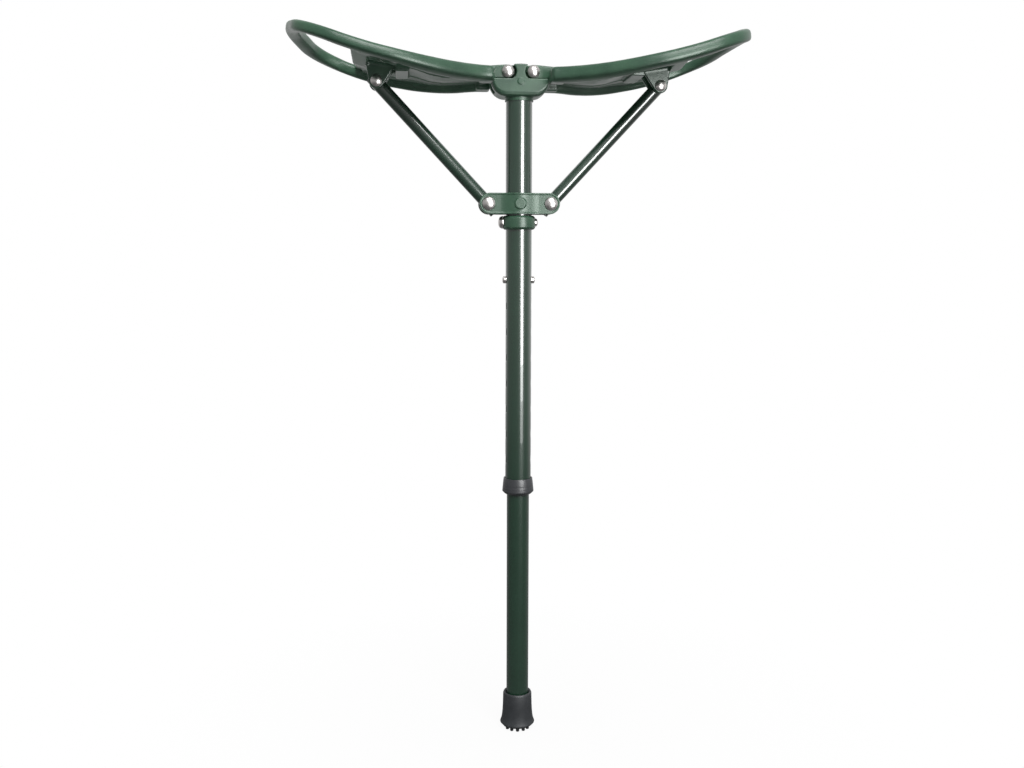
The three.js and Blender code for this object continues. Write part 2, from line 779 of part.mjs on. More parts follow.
// Panel between the rims, a little dished on top, with a keel and ribs below
function panel() {
  const ribEdges = ribPlaceShares.flatMap((place) => [
    [place - ribHalfWidthShare, 0],
    [place - ribHalfWidthShare, ribDepth],
    [place + ribHalfWidthShare, ribDepth],
    [place + ribHalfWidthShare, 0],
  ]);
  const underside = [
    [1, 0],
    ...ribEdges.slice().reverse(),
    [0, 0],
    ...ribEdges.map(([place, below]) => [-place, below]),
    [-1, 0],
  ];
  const topPlaces = [-1, -0.5, 0, 0.5, 1];
  const start = hingeReach + panelStart;
  const end = hingeReach + gripBarStart + gripBarWidth / 2;
  const rings = [];
  for (let i = 0; i <= panelStations; i++) {
    const x = start + ((end - start) * i) / panelStations;
    const { depth, height } = rimAt(x);
    const crest = height + rimThickness / 2 - panelCrown;
    const edge = height - panelLip;
    const keel = keelAt(x);
    const flat = [
      ...topPlaces.map((place) => new THREE.Vector2(place * depth, crest - panelDish * (1 - place ** 2))),
      ...underside.map(
        ([place, below]) =>
          new THREE.Vector2(place * depth, keel + (edge - keel) * Math.abs(place) - below),
      ),
    ];
    rings.push({ flat, points: flat.map((p) => new THREE.Vector3(x, p.x, p.y)) });
  }
  return loft(rings);
}

// Bar between the panel and the hand-hole
function gripBar() {
  const start = hingeReach + gripBarStart;
  const end = start + gripBarWidth;
  const half = gripBarThickness / 2;
  const low = rimAt(start).height;
  const high = rimAt(end).height;
  const depth = rimAt(start).depth;
  const outline = [
    new THREE.Vector2(start, low - half),
    new THREE.Vector2(end, high - half),
    new THREE.Vector2(end, high + half),
    new THREE.Vector2(start, low + half),
  ];
  return plate(outline, -depth, depth);
}

// Seat half of the right side
function seatWing() {
  const earOuter = earInner + earThickness;
  const earOutline = hull([
    ...arcPoints(hingeReach, hingeHeight, earRadius),
    new THREE.Vector2(hingeReach + earReach, hingeHeight + earTop),
    new THREE.Vector2(hingeReach + earReach, hingeHeight - earRadius),
  ]);
  const rootStart = lugPivotX - lugRootInside;
  const rootEnd = lugPivotX + lugRootOutside;
  const lugOutline = hull([
    ...arcPoints(lugPivotX, lugPivotHeight, lugRadius),
    new THREE.Vector2(rootStart, rimAt(rootStart).height + lugRootDrop),
    new THREE.Vector2(rootEnd, rimAt(rootEnd).height + lugRootDrop),
  ]);
  const bridgeX = lugPivotX - bridgeInset;
  const bridge = block(
    bridgeX,
    bridgeX + bridgeWidth,
    -bridgeHalfDepth,
    bridgeHalfDepth,
    hingeHeight - bridgeDrop,
    rimAt(bridgeX).height + panelLip,
  );
  const body = join(
    rim(),
    panel(),
    gripBar(),
    bridge,
    plate(earOutline, -earOuter, -earInner),
    plate(earOutline, earInner, earOuter),
    plate(lugOutline, -forkGap - lugThickness, -forkGap),
    plate(lugOutline, forkGap, forkGap + lugThickness),
  );
  const past = earOuter + overrun;
  const earHoles = barY(rivetShankRadius + seatGap, hingeReach, hingeHeight, -past, past);
  const lugHoles = barY(rivetShankRadius + seatGap, lugPivotX, lugPivotHeight, -past, past);
  return cut(body, earHoles, lugHoles);
}

function piece(name, made, material) {
  const mesh = new THREE.Mesh(geometryOf(made), material);
  mesh.name = name;
  return mesh;
}

const stool = new THREE.Group();

stool.add(
  piece("foot_ferrule", ferrule(), rubber),
  piece("foot_washer", washer(), springSteel),
  piece("lower_tube", lowerTube(), paintedSteel),
  piece("snap_spring", snapSpring(), springSteel),
  piece("outer_tube", outerTube(), paintedSteel),
  piece("guide_collar", guideCollar(), collarPlastic),
  piece("stop_ring", stopRing(), moulding),
  piece("stop_ring_bolt", stopRingBolt(), rivetSteel),
  piece("slider_bracket", sliderBracket(), moulding),
  piece("head_block", headBlock(), moulding),
  piece("head_pin", headPin(), rivetSteel),
);

// The left side is the right side turned half round the leg
const earFace = earInner + earThickness;
const lugFace = forkGap + lugThickness;
for (const [side, turn] of [
  ["right", 0],
  ["left", Math.PI],
]) {
  const half = new THREE.Group();
  half.rotation.z = turn;
  half.add(
    piece("seat_wing_" + side, seatWing(), moulding),
    piece("strut_" + side, strut(), paintedSteel),
    piece(
      "hinge_rivet_" + side,
      throughRivet(hingeReach, hingeHeight, earFace, rivetFlangeRadius),
      rivetSteel,
    ),
    piece(
      "strut_rivet_" + side,
      throughRivet(lugPivotX, lugPivotHeight, lugFace, strutRivetFlangeRadius),
      rivetSteel,
    ),
  );
  const button = piece("snap_button_" + side, snapButton(), rivetSteel);
  button.position.z = topHoleHeight;
  half.add(button);
  const front = turn ? 1 : -1; // the half turn swaps front and back
  for (const [place, y] of [
    ["front", front],
    ["back", -front],
  ]) {
    half.add(
      piece(
        "slider_rivet_" + side + "_" + place,
        shortRivet(bracketPivotReach, bracketPivotHeight, y),
        rivetSteel,
      ),
    );
  }
  stool.add(half);
}

export default stool;
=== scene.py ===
import math

import bpy
from mathutils import Matrix, Vector


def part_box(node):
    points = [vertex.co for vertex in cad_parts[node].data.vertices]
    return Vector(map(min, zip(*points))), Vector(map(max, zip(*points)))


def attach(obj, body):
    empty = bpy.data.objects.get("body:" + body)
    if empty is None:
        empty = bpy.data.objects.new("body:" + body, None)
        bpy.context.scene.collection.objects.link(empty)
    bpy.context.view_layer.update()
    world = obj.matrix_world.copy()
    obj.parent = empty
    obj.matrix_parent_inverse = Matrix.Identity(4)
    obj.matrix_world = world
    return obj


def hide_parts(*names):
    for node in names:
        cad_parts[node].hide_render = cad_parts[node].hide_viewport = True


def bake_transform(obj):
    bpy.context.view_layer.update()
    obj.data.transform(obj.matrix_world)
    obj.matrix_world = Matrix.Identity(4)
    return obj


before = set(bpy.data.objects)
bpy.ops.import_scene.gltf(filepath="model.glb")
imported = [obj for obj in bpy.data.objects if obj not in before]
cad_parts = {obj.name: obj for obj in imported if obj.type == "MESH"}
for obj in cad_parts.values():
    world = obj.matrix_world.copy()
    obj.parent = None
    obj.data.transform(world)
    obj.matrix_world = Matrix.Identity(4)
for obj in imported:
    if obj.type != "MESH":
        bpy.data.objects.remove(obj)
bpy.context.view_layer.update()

mm = 0.001  # sizes below are in millimetres
tiny = 0.1  # places closer than this count as the same when edges or corners are picked


def boxOf(node):  # lowest and highest corner of a CAD node
    low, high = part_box(node)
    return low / mm, high / mm


def middleOf(node):
    low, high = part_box(node)
    return (low + high) / 2 / mm


# Working on meshes
def pickOnly(*pieces):
    bpy.ops.object.select_all(action="DESELECT")
    for piece in pieces:
        piece.select_set(True)
    bpy.context.view_layer.objects.active = pieces[0]


# Turns a piece, moves it and makes both part of its shape
def reposition(piece, turn=(0, 0, 0), place=(0, 0, 0)):
    piece.rotation_euler = turn
    piece.location = Vector(place) * mm
    pickOnly(piece)
    bpy.ops.object.transform_apply(location=True, rotation=True, scale=True)


def linked(name, data):
    piece = bpy.data.objects.new(name, data)
    bpy.context.scene.collection.objects.link(piece)
    return piece


def halfTurnCopy(piece, name):
    copy = linked(name, piece.data.copy())
    reposition(copy, turn=(0, 0, math.pi))
    return copy


def useModifier(piece, kind, **settings):
    pickOnly(piece)
    modifier = piece.modifiers.new(kind.title(), kind)
    for setting, value in settings.items():
        setattr(modifier, setting, value)
    bpy.ops.object.modifier_apply(modifier=modifier.name)


def roundEdges(piece, width, segments=3, sharperThan=30):
    useModifier(
        piece,
        "BEVEL",
        width=width * mm,
        segments=segments,
        limit_method="ANGLE",
        angle_limit=math.radians(sharperThan),
    )


def combine(piece, operation, *others):
    for other in others:
        useModifier(piece, "BOOLEAN", operation=operation, object=other, solver="EXACT")
        bpy.data.objects.remove(other)


def joinAll(name, pieces):
    pickOnly(*pieces)
    bpy.ops.object.join()
    joined = bpy.context.active_object
    joined.name = name
    return joined


def smoothShade(piece, angle=35):
    pickOnly(piece)
    bpy.ops.object.shade_smooth_by_angle(angle=math.radians(angle))


# Melts overlapping bodies into one moulding with small fillets
def mould(piece, voxel, smoothing):
    useModifier(piece, "REMESH", mode="VOXEL", voxel_size=voxel * mm, adaptivity=0)
    useModifier(piece, "SMOOTH", factor=0.5, iterations=smoothing)
    pickOnly(piece)
    bpy.ops.object.shade_smooth()


def extrude(step):
    bpy.ops.mesh.extrude_region_move(TRANSFORM_OT_translate={"value": step})


def weld(reach=0.01):  # makes one corner of those that fall together
    bpy.ops.mesh.select_all(action="SELECT")
    bpy.ops.mesh.remove_doubles(threshold=reach * mm)


def closeMesh():  # turns every face outwards and leaves edit mode
    bpy.ops.mesh.select_all(action="SELECT")
    bpy.ops.mesh.normals_make_consistent(inside=False)
    bpy.ops.object.mode_set(mode="OBJECT")


# A line drawn by extruding one corner from point to point; it stays in edit mode
def drawLine(name, points):
    bpy.ops.object.select_all(action="DESELECT")
    bpy.ops.mesh.primitive_plane_add(size=mm)
    line = bpy.context.active_object
    line.name = name
    bpy.ops.object.mode_set(mode="EDIT")
    bpy.ops.mesh.select_mode(type="VERT")
    bpy.ops.mesh.merge(type="CENTER")
    bpy.ops.transform.translate(value=Vector(points[0]) * mm)
    for here, there in zip(points, points[1:]):
        extrude((Vector(there) - Vector(here)) * mm)
    return line


turns = {"Z": (0, 0, 0), "X": (0, math.pi / 2, 0), "Y": (-math.pi / 2, 0, 0)}


# A profile of (radius, height) spun round an axis; one that stays off the axis is closed
def spun(name, profile, sides=96, rounding=0, axis="Z", place=(0, 0, 0)):
    points = [(radius, 0, height) for radius, height in profile]
    if profile[0][0] > 0:
        points.append(points[0])
    piece = drawLine(name, points)
    bpy.ops.mesh.select_all(action="SELECT")
    bpy.ops.mesh.spin(steps=sides, angle=2 * math.pi, center=(0, 0, 0), axis=(0, 0, 1))
    weld()
    closeMesh()
    reposition(piece, turns[axis], place)
    if rounding:
        roundEdges(piece, rounding)
    smoothShade(piece)
    return piece


# A plate with its outline in the XZ plane, from y = front to y = back
def plate(name, outline, front, back):
    points = [(x, front, z) for x, z in outline]
    piece = drawLine(name, points + points[:1])
    weld()
    bpy.ops.mesh.edge_face_add()
    extrude((0, (back - front) * mm, 0))
    closeMesh()
    return piece


def block(name, low, high):
    bpy.ops.object.select_all(action="DESELECT")
    bpy.ops.mesh.primitive_cube_add(size=mm)
    piece = bpy.context.active_object
    piece.name = name
    piece.scale = Vector(high) - Vector(low)
    reposition(piece, place=(Vector(low) + Vector(high)) / 2)
    return piece


holeSides = 32  # facets round a small hole


def peg(radius, start, end, sides, axis, place):
    profile = [(0, start), (radius, start), (radius, end), (0, end)]
    return spun("peg", profile, sides, axis=axis, place=place)


def pegY(radius, x, z, front, back, sides=48):
    return peg(radius, front, back, sides, "Y", (x, 0, z))


def pegX(radius, z, left, right, sides=48):
    return peg(radius, left, right, sides, "X", (0, 0, z))


def pegZ(radius, bottom, top, sides=96):
    return peg(radius, bottom, top, sides, "Z", (0, 0, 0))


def arc(x, z, radius, start, end, steps):
    angles = [math.radians(start + (end - start) * i / steps) for i in range(steps + 1)]
    return [(x + radius * math.cos(a), z + radius * math.sin(a)) for a in angles]


# The tight outline round a set of points
def hull(points, straight=1e-9):
    ordered = sorted(points)

    def half(row):
        kept = []
        for x, z in row:
            while len(kept) > 1:
                (ax, az), (bx, bz) = kept[-2:]
                if (bx - ax) * (z - az) - (bz - az) * (x - ax) > straight:
                    break
                kept.pop()
            kept.append((x, z))
        return kept[:-1]

    return half(ordered) + half(ordered[::-1])


# Bevels the edges that a test on their two ends picks
def bevelEdges(piece, isPicked, width, segments):
    pickOnly(piece)
    bpy.ops.object.mode_set(mode="EDIT")
    bpy.ops.mesh.select_mode(type="EDGE")
    bpy.ops.mesh.select_all(action="DESELECT")
    bpy.ops.object.mode_set(mode="OBJECT")
    for edge in piece.data.edges:
        edge.select = isPicked(*[piece.data.vertices[v].co / mm for v in edge.vertices])
    bpy.ops.object.mode_set(mode="EDIT")
    bpy.ops.mesh.bevel(offset=width * mm, segments=segments)
    bpy.ops.object.mode_set(mode="OBJECT")


# Shader nodes written as sums
class Wire:
    def __init__(self, nodes, socket):
        self.nodes = nodes
        self.socket = socket

    def math(self, operation, *values):
        return self.nodes.add("ShaderNodeMath", {"operation": operation}, values)

    def __add__(self, other):
        return self.math("ADD", self, other)

    __radd__ = __add__

    def __mul__(self, other):
        return self.math("MULTIPLY", self, other)

    __rmul__ = __mul__

    def __sub__(self, other):
        return self.math("SUBTRACT", self, other)

    def __rsub__(self, other):
        return self.math("SUBTRACT", other, self)


class Nodes:
    def __init__(self, tree):
        self.tree = tree

    # Any node: its type, its settings, what its sockets get, and the output to go on from
    def add(self, kind, settings, sockets, output=0):
        node = self.tree.nodes.new(kind)
        for setting, value in settings.items():
            if setting == "stops":
                for stop, (at, shade) in zip(node.color_ramp.elements, value):
                    stop.position = at
                    stop.color = (shade, shade, shade, 1)
            else:
                setattr(node, setting, value)
        for key, value in sockets.items() if isinstance(sockets, dict) else enumerate(sockets):
            if isinstance(value, Wire):
                self.tree.links.new(value.socket, node.inputs[key])
            else:
                node.inputs[key].default_value = value
        return Wire(self, node.outputs[output])

    def given(self, kind, output):
        return self.add(kind, {}, {}, output)

    def ray(self, kind):
        return self.given("ShaderNodeLightPath", "Is " + kind + " Ray")

    def ramp(self, value, start, end):
        return self.add("ShaderNodeValToRGB", {"stops": [(start, 0), (end, 1)]}, {"Fac": value})

    def mixedColour(self, share, first, second):
        sockets = {"Factor": share, 6: first, 7: second}
        return self.add("ShaderNodeMix", {"data_type": "RGBA"}, sockets, 2)

    def mixedValue(self, share, first, second):
        return self.add("ShaderNodeMix", {}, {0: share, 2: first, 3: second})

    # A value between low and high as one between start and end, held at both
    def mapped(self, value, low, high, start, end):
        sockets = {"Value": value, "From Min": low, "From Max": high, "To Min": start, "To Max": end}
        return self.add("ShaderNodeMapRange", {}, sockets)

    def vector(self, operation, *values, output=0):
        return self.add("ShaderNodeVectorMath", {"operation": operation}, values, output)

    def connect(self, wire, node, socket):
        self.tree.links.new(wire.socket, self.tree.nodes[node].inputs[socket])


class Finish(Nodes):
    def __init__(self, name, **constants):
        self.material = bpy.data.materials.new(name)
        self.material.use_nodes = True
        super().__init__(self.material.node_tree)
        self.shader = self.tree.nodes["Principled BSDF"]
        for socket, value in constants.items():
            self.shader.inputs[socket.replace("_", " ")].default_value = value
        self.place = self.given("ShaderNodeTexCoord", "Object")

    def noise(self, spacing, detail=2, roughness=0.5):
        sockets = {
            "Vector": self.place,
            "Scale": 1 / (spacing * mm),
            "Detail": detail,
            "Roughness": roughness,
        }
        return self.add("ShaderNodeTexNoise", {}, sockets)

    def wear(self, start, end):  # 1 on outer edges
        return self.ramp(self.given("ShaderNodeNewGeometry", "Pointiness"), start, end)

    def bump(self, height, strength, depth):
        sockets = {"Height": height, "Strength": strength, "Distance": depth * mm}
        return self.add("ShaderNodeBump", {}, sockets)

    def send(self, **wires):
        for socket, wire in wires.items():
            self.connect(wire, self.shader.name, socket.replace("_", " "))


def rgb(red, green, blue):  # screen colour, 0 to 255, as the linear colour that shaders take
    shares = [value / 255 for value in (red, green, blue)]
    linear = [s / 12.92 if s <= 0.04045 else ((s + 0.055) / 1.055) ** 2.4 for s in shares]
    return (*linear, 1)


# Finishes: cloud, speck, grain, peel, dust and scuff are the spacing of their spots in millimetres,
# and the names that begin with them say what the spots do
mouldingLook = dict(base=rgb(65, 99, 77), pale=rgb(90, 122, 101), deep=rgb(52, 83, 65), roughness=0.37)
mouldingLook.update(cloud=26, cloudRoughness=0.05, speck=1.4, speckShare=0.35, speckRoughness=0.12)
mouldingLook.update(speckHeight=0.6, grain=0.45, wearShare=0.45)


def greenMoulding(look):
    finish = Finish("greenMoulding", IOR=1.5, Specular_IOR_Level=0.45)
    cloud = finish.ramp(finish.noise(look["cloud"], detail=3), start=0.35, end=0.68)
    speck = finish.noise(look["speck"], roughness=0.6)
    grain = finish.noise(look["grain"], roughness=0.65)
    plain = finish.mixedColour(cloud, look["deep"], look["base"])
    spots = finish.ramp(speck, start=0.55, end=0.85) * look["speckShare"]
    specked = finish.mixedColour(spots, plain, look["pale"])
    edges = finish.wear(start=0.53, end=0.62) * look["wearShare"]
    worn = finish.mixedColour(edges, specked, look["pale"])
    rough = look["roughness"] + (speck - 0.5) * look["speckRoughness"]
    rough = rough + (cloud - 0.5) * look["cloudRoughness"]
    normal = finish.bump(grain + speck * look["speckHeight"], strength=0.22, depth=0.06)
    finish.send(Base_Color=worn, Roughness=rough, Normal=normal)
    return finish.material


paintLook = dict(base=rgb(21, 50, 35), pale=rgb(33, 66, 49), grey=rgb(120, 134, 122), roughness=0.32)
paintLook.update(cloud=40, peel=7, dust=0.9, dustShare=0.16, wearShare=0.3, dustRoughness=0.15)


def tubePaint(look):
    finish = Finish("tubePaint", IOR=1.5, Coat_Weight=1.0, Coat_Roughness=0.03, Coat_IOR=1.6)
    cloud = finish.noise(look["cloud"])
    peel = finish.noise(look["peel"], detail=1)
    dust = finish.ramp(finish.noise(look["dust"], roughness=0.7), start=0.66, end=0.8)
    plain = finish.mixedColour(cloud, look["base"], look["pale"])
    dusty = finish.mixedColour(dust * look["dustShare"], plain, look["grey"])
    edges = finish.wear(start=0.54, end=0.6) * look["wearShare"]
    worn = finish.mixedColour(edges, dusty, look["pale"])
    rough = look["roughness"] + dust * look["dustRoughness"]
    finish.send(Base_Color=worn, Roughness=rough, Normal=finish.bump(peel, strength=0.05, depth=0.05))
    return finish.material


charcoalLook = dict(dark=rgb(47, 49, 52), light=rgb(60, 62, 66), roughness=0.36)
charcoalLook.update(cloud=9, cloudRoughness=0.12, grain=0.5)


def charcoalPlastic(look):
    finish = Finish("charcoalPlastic", IOR=1.5, Specular_IOR_Level=0.6)
    cloud = finish.noise(look["cloud"])
    grain = finish.noise(look["grain"], roughness=0.6)
    shade = finish.mixedColour(cloud, look["dark"], look["light"])
    rough = look["roughness"] + cloud * look["cloudRoughness"]
    finish.send(Base_Color=shade, Roughness=rough, Normal=finish.bump(grain, strength=0.2, depth=0.06))
    return finish.material


rubberLook = dict(dark=rgb(38, 41, 44), light=rgb(52, 55, 59), grey=rgb(104, 106, 106), roughness=0.46)
rubberLook.update(cloud=8, cloudRoughness=0.16, dust=0.8, dustShare=0.22)


def footRubber(look):
    finish = Finish("footRubber", IOR=1.5, Specular_IOR_Level=0.5)
    cloud = finish.noise(look["cloud"], detail=3)
    dust = finish.ramp(finish.noise(look["dust"], detail=3, roughness=0.7), start=0.5, end=0.8)
    shade = finish.mixedColour(cloud, look["dark"], look["light"])
    dusty = finish.mixedColour(dust * look["dustShare"], shade, look["grey"])
    rough = look["roughness"] + cloud * look["cloudRoughness"]
    finish.send(Base_Color=dusty, Roughness=rough, Normal=finish.bump(dust, strength=0.25, depth=0.08))
    return finish.material


brightLook = dict(dark=rgb(196, 192, 190), light=rgb(226, 223, 220), cloud=3, roughness=0.27)
brightLook.update(scuff=0.35, scuffDetail=0.7, scuffRoughness=0.06, scuffStrength=0.03, scuffDepth=0.01)
springLook = dict(dark=rgb(120, 122, 124), light=rgb(158, 160, 163), cloud=5, roughness=0.3)
springLook.update(scuff=0.4, scuffDetail=0.6, scuffRoughness=0.2, scuffStrength=0.1, scuffDepth=0.03)


def steel(name, look):
    finish = Finish(name, Metallic=1.0)
    cloud = finish.noise(look["cloud"])
    scuff = finish.noise(look["scuff"], roughness=look["scuffDetail"])
    shade = finish.mixedColour(cloud, look["dark"], look["light"])
    rough = look["roughness"] + scuff * look["scuffRoughness"]
    normal = finish.bump(scuff, look["scuffStrength"], look["scuffDepth"])
    finish.send(Base_Color=shade, Roughness=rough, Normal=normal)
    return finish.material


finishes = {
    "green_moulding": greenMoulding(mouldingLook),
    "painted_tube": tubePaint(paintLook),
    "collar_plastic": charcoalPlastic(charcoalLook),
    "foot_rubber": footRubber(rubberLook),
    "bright_rivet": steel("brightSteel", brightLook),
    "spring_steel": steel("springSteel", springLook),
}
print("finishes made")


def dress(mesh, slot):
    mesh.materials.clear()
    mesh.materials.append(finishes[slot])


# Puts a finished piece in the part: its finish, its body and the CAD nodes it stands for
def fit(piece, slot, body, *nodes):
    dress(piece.data, slot)
    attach(piece, body)
    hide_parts(*nodes)


# The washer inside the foot keeps its CAD shape and gets its finish
dress(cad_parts["foot_washer"].data, "spring_steel")

# Rubber foot
foot = dict(bore=11.4, floor=9, face=4, base=15.3, flare=17.6, flareHeight=6.5, neck=14.5)
foot.update(lip=36.8, top=38.9, shoulder=2, edge=0.6, brim=1.4, funnel=0.8, rounding=0.35)
# Shares of the side's height and of its flare, from the widest place up to the neck
footSideShares = [(0.05, 0.8), (0.12, 0.57), (0.22, 0.38), (0.38, 0.22), (0.6, 0.1)]
# Studs in rings: each ring's radius, its count and the angle of its first stud
stud = dict(radius=1.75, tipShare=0.7, tip=0.6, root=0.8, rounding=0.2, sides=20)
stud.update(rings=[(0, 1, 0), (6, 6, 27), (11.7, 12, -4)])


def makeFoot():
    shoulder = foot["top"] - foot["shoulder"]
    rise = shoulder - foot["flareHeight"]
    spread = foot["flare"] - foot["neck"]
    side = [(foot["neck"] + spread * out, foot["flareHeight"] + rise * up) for up, out in footSideShares]
    profile = [
        (0, foot["face"]),
        (foot["base"], foot["face"]),
        (foot["flare"], foot["flareHeight"]),
        *side,
        (foot["neck"], shoulder),
        (foot["neck"] - foot["edge"], foot["top"] - foot["edge"]),
        (foot["neck"] - foot["brim"], foot["top"]),
        (foot["bore"] + foot["funnel"], foot["top"] - foot["funnel"]),
        (foot["bore"], foot["lip"]),
        (foot["bore"], foot["floor"]),
        (0, foot["floor"]),
    ]
    body = spun("rubberFoot", profile, rounding=foot["rounding"])
    root = foot["face"] + stud["root"]
    studProfile = [
        (0, 0),
        (stud["radius"] * stud["tipShare"], 0),
        (stud["radius"], stud["tip"]),
        (stud["radius"], root),
        (0, root),
    ]
    studs = []
    for ringRadius, count, start in stud["rings"]:
        for number in range(count):
            angle = math.radians(start + 360 / count * number)
            place = (ringRadius * math.cos(angle), ringRadius * math.sin(angle), 0)
            studs.append(spun("stud", studProfile, stud["sides"], stud["rounding"], place=place))
    combine(body, "UNION", joinAll("studs", studs))
    smoothShade(body, angle=40)
    fit(body, "foot_rubber", "leg", "foot_ferrule")


makeFoot()
print("foot made")

# Leg tubes and the struts' tube
tubes = dict(wall=1.2, rounding=0.25, shadeAngle=12)
holes = dict(radius=3.8, flare=1.3, flareDepth=0.6, pitch=25.4, count=8, boltRadius=2.5)
holes.update(height=middleOf("snap_button_left").z, overrun=3, mouth=4, skin=0.3, sides=40)


def tube(name, radius, bottom, top, sides=128):
    inner = radius - tubes["wall"]
    profile = [(radius, bottom), (radius, top), (inner, top), (inner, bottom)]
    return spun(name, profile, sides, tubes["rounding"])


# A cutter through both walls of a tube, a little wider where it comes out
def throughHole(radius, tubeRadius, height):
    wide = radius + holes["flare"]
    skin = tubeRadius - holes["flareDepth"]
    out = tubeRadius + holes["overrun"]
    mouth = wide + holes["mouth"]
    profile = [(0, -out), (mouth, -out), (wide, -tubeRadius + holes["skin"]), (radius, -skin)]
    profile += [(r, -h) for r, h in profile[::-1]]
    return spun("hole", profile, holes["sides"], axis="X", place=(0, 0, height))


def makeLegTubes():
    low, high = boxOf("lower_tube")
    inner = tube("innerTube", high.x, low.z, high.z)
    out = high.x + holes["overrun"]
    combine(inner, "DIFFERENCE", pegX(holes["radius"], holes["height"], -out, out))
    smoothShade(inner, tubes["shadeAngle"])
    fit(inner, "painted_tube", "leg", "lower_tube")

    low, high = boxOf("outer_tube")
    outer = tube("outerTube", high.x, low.z, high.z)
    out = high.x + holes["overrun"]
    heights = [holes["height"] - holes["pitch"] * number for number in range(holes["count"])]
    cutters = [throughHole(holes["radius"], high.x, height) for height in heights]
    cutters.append(pegX(holes["boltRadius"], middleOf("stop_ring_bolt").z, -out, out, holeSides))
    combine(outer, "DIFFERENCE", joinAll("holes", cutters))
    smoothShade(outer, tubes["shadeAngle"])
    fit(outer, "painted_tube", "upper", "outer_tube")


makeLegTubes()
print("leg tubes made")

# Guide collar
collar = dict(slideBore=11.5, tubeBore=13, endRadius=13, baseRadius=15.7, topRadius=14.3, skirt=2.6)
collar.update(grooveDepth=0.15, grooveHalf=0.4, grooves=[5.4, 8.4], sides=112, rounding=0.45)


def makeCollar():
    low, high = boxOf("guide_collar")
    ledge = low.z + collar["skirt"]
    slope = (collar["topRadius"] - collar["baseRadius"]) / (high.z - ledge)
    half = collar["grooveHalf"]
    side = [(collar["endRadius"], low.z), (collar["baseRadius"], ledge)]
    for up in collar["grooves"]:
        height = low.z + up
        skin = collar["baseRadius"] + slope * (height - ledge)
        side += [(skin, height - half), (skin - collar["grooveDepth"], height), (skin, height + half)]
    profile = [
        (collar["slideBore"], low.z),
        *side,
        (collar["topRadius"], high.z),
        (collar["tubeBore"], high.z),
        (collar["tubeBore"], ledge),
        (collar["slideBore"], ledge),
    ]
    piece = spun("guideCollar", profile, collar["sides"], collar["rounding"])
    fit(piece, "collar_plastic", "upper", "guide_collar")


makeCollar()

# Snap buttons
button = dict(radius=3.5, dome=1.6, domeSteps=8, sides=48)


def makeButton(side, sign):
    node = "snap_button_" + side
    low, high = boxOf(node)
    base, tip = sorted((abs(low.x), abs(high.x)))
    angles = [math.pi / 2 * step / button["domeSteps"] for step in range(button["domeSteps"])]
    dome = [(button["radius"] * math.cos(a), tip - button["dome"] * (1 - math.sin(a))) for a in angles]
    profile = [(0, base), (button["radius"], base), *dome, (0, tip)]
    piece = spun("snapButton_" + side, profile, button["sides"], axis="X", place=(0, 0, middleOf(node).z))
    if sign < 0:
        reposition(piece, turn=(0, 0, math.pi))
    fit(piece, "bright_rivet", "button_" + side, node)


# Leaf spring between the buttons, in halves, one for each button
leaf = dict(thickness=0.8, bend=4.5, knee=20.5, bendSteps=8, legSteps=14, rounding=0.12, roundingSteps=2)


def makeLeaf(side, sign):
    low, high = boxOf("snap_spring")
    skin = leaf["thickness"] / 2
    start = Vector((leaf["bend"] - skin, 0, low.z + leaf["bend"]))
    end = Vector((high.x - skin, 0, high.z - leaf["knee"]))
    path = arc(0, start.z, start.x, -90, 0, leaf["bendSteps"])
    for step in range(1, leaf["legSteps"] + 1):
        point = start.lerp(end, step / leaf["legSteps"])
        path.append((point.x, point.z))
    path.append((end.x, high.z))
    piece = drawLine("leafSpring_" + side, [(sign * x, low.y, z) for x, z in path])
    bpy.ops.mesh.select_all(action="SELECT")
    extrude((0, (high.y - low.y) * mm, 0))
    bpy.ops.object.mode_set(mode="OBJECT")
    useModifier(piece, "SOLIDIFY", thickness=leaf["thickness"] * mm, offset=0)
    roundEdges(piece, leaf["rounding"], leaf["roundingSteps"])
    smoothShade(piece)
    dress(piece.data, "spring_steel")
    "button_" + side
    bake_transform(piece)
    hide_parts("snap_spring")


for make in (makeButton, makeLeaf):
    make("left", -1)
    make("right", 1)
print("collar, buttons and their spring made")

# Stop ring and its bolt
ring = dict(bore=13, shoulder=1.9, rounding=0.7, topTrim=0.6, sides=112)
bolt = dict(shank=2.2, head=6, headHeight=5, headDome=3.6, tail=3.9, tailHeight=3.6, tailDome=2.4)
bolt.update(domeAngles=(0, 0.5, 0.9, 1.25), gap=0.3, overrun=3, rounding=0.3, sides=56)


def makeStopRing():
    low, high = boxOf("stop_ring")
    height = middleOf("stop_ring_bolt").z
    radius = high.x
    high.z -= ring["topTrim"]
    profile = [
        (ring["bore"], low.z),
        (radius - ring["shoulder"], low.z),
        (radius, low.z + ring["shoulder"]),
        (radius, high.z - ring["shoulder"]),
        (radius - ring["shoulder"], high.z),
        (ring["bore"], high.z),
    ]
    piece = spun("stopRing", profile, ring["sides"], ring["rounding"])
    flat = math.sqrt(radius**2 - bolt["head"] ** 2)
    out = radius + bolt["overrun"]
    cutters = [
        pegX(bolt["shank"] + bolt["gap"], height, -out, out, holeSides),
        pegX(bolt["head"] + bolt["gap"], height, -out, -flat),
        pegX(bolt["tail"] + bolt["gap"], height, flat, out),
    ]
    combine(piece, "DIFFERENCE", *cutters)
    smoothShade(piece, angle=32)
    fit(piece, "green_moulding", "upper", "stop_ring")
    makeStopRingBolt(flat + bolt["gap"], height)


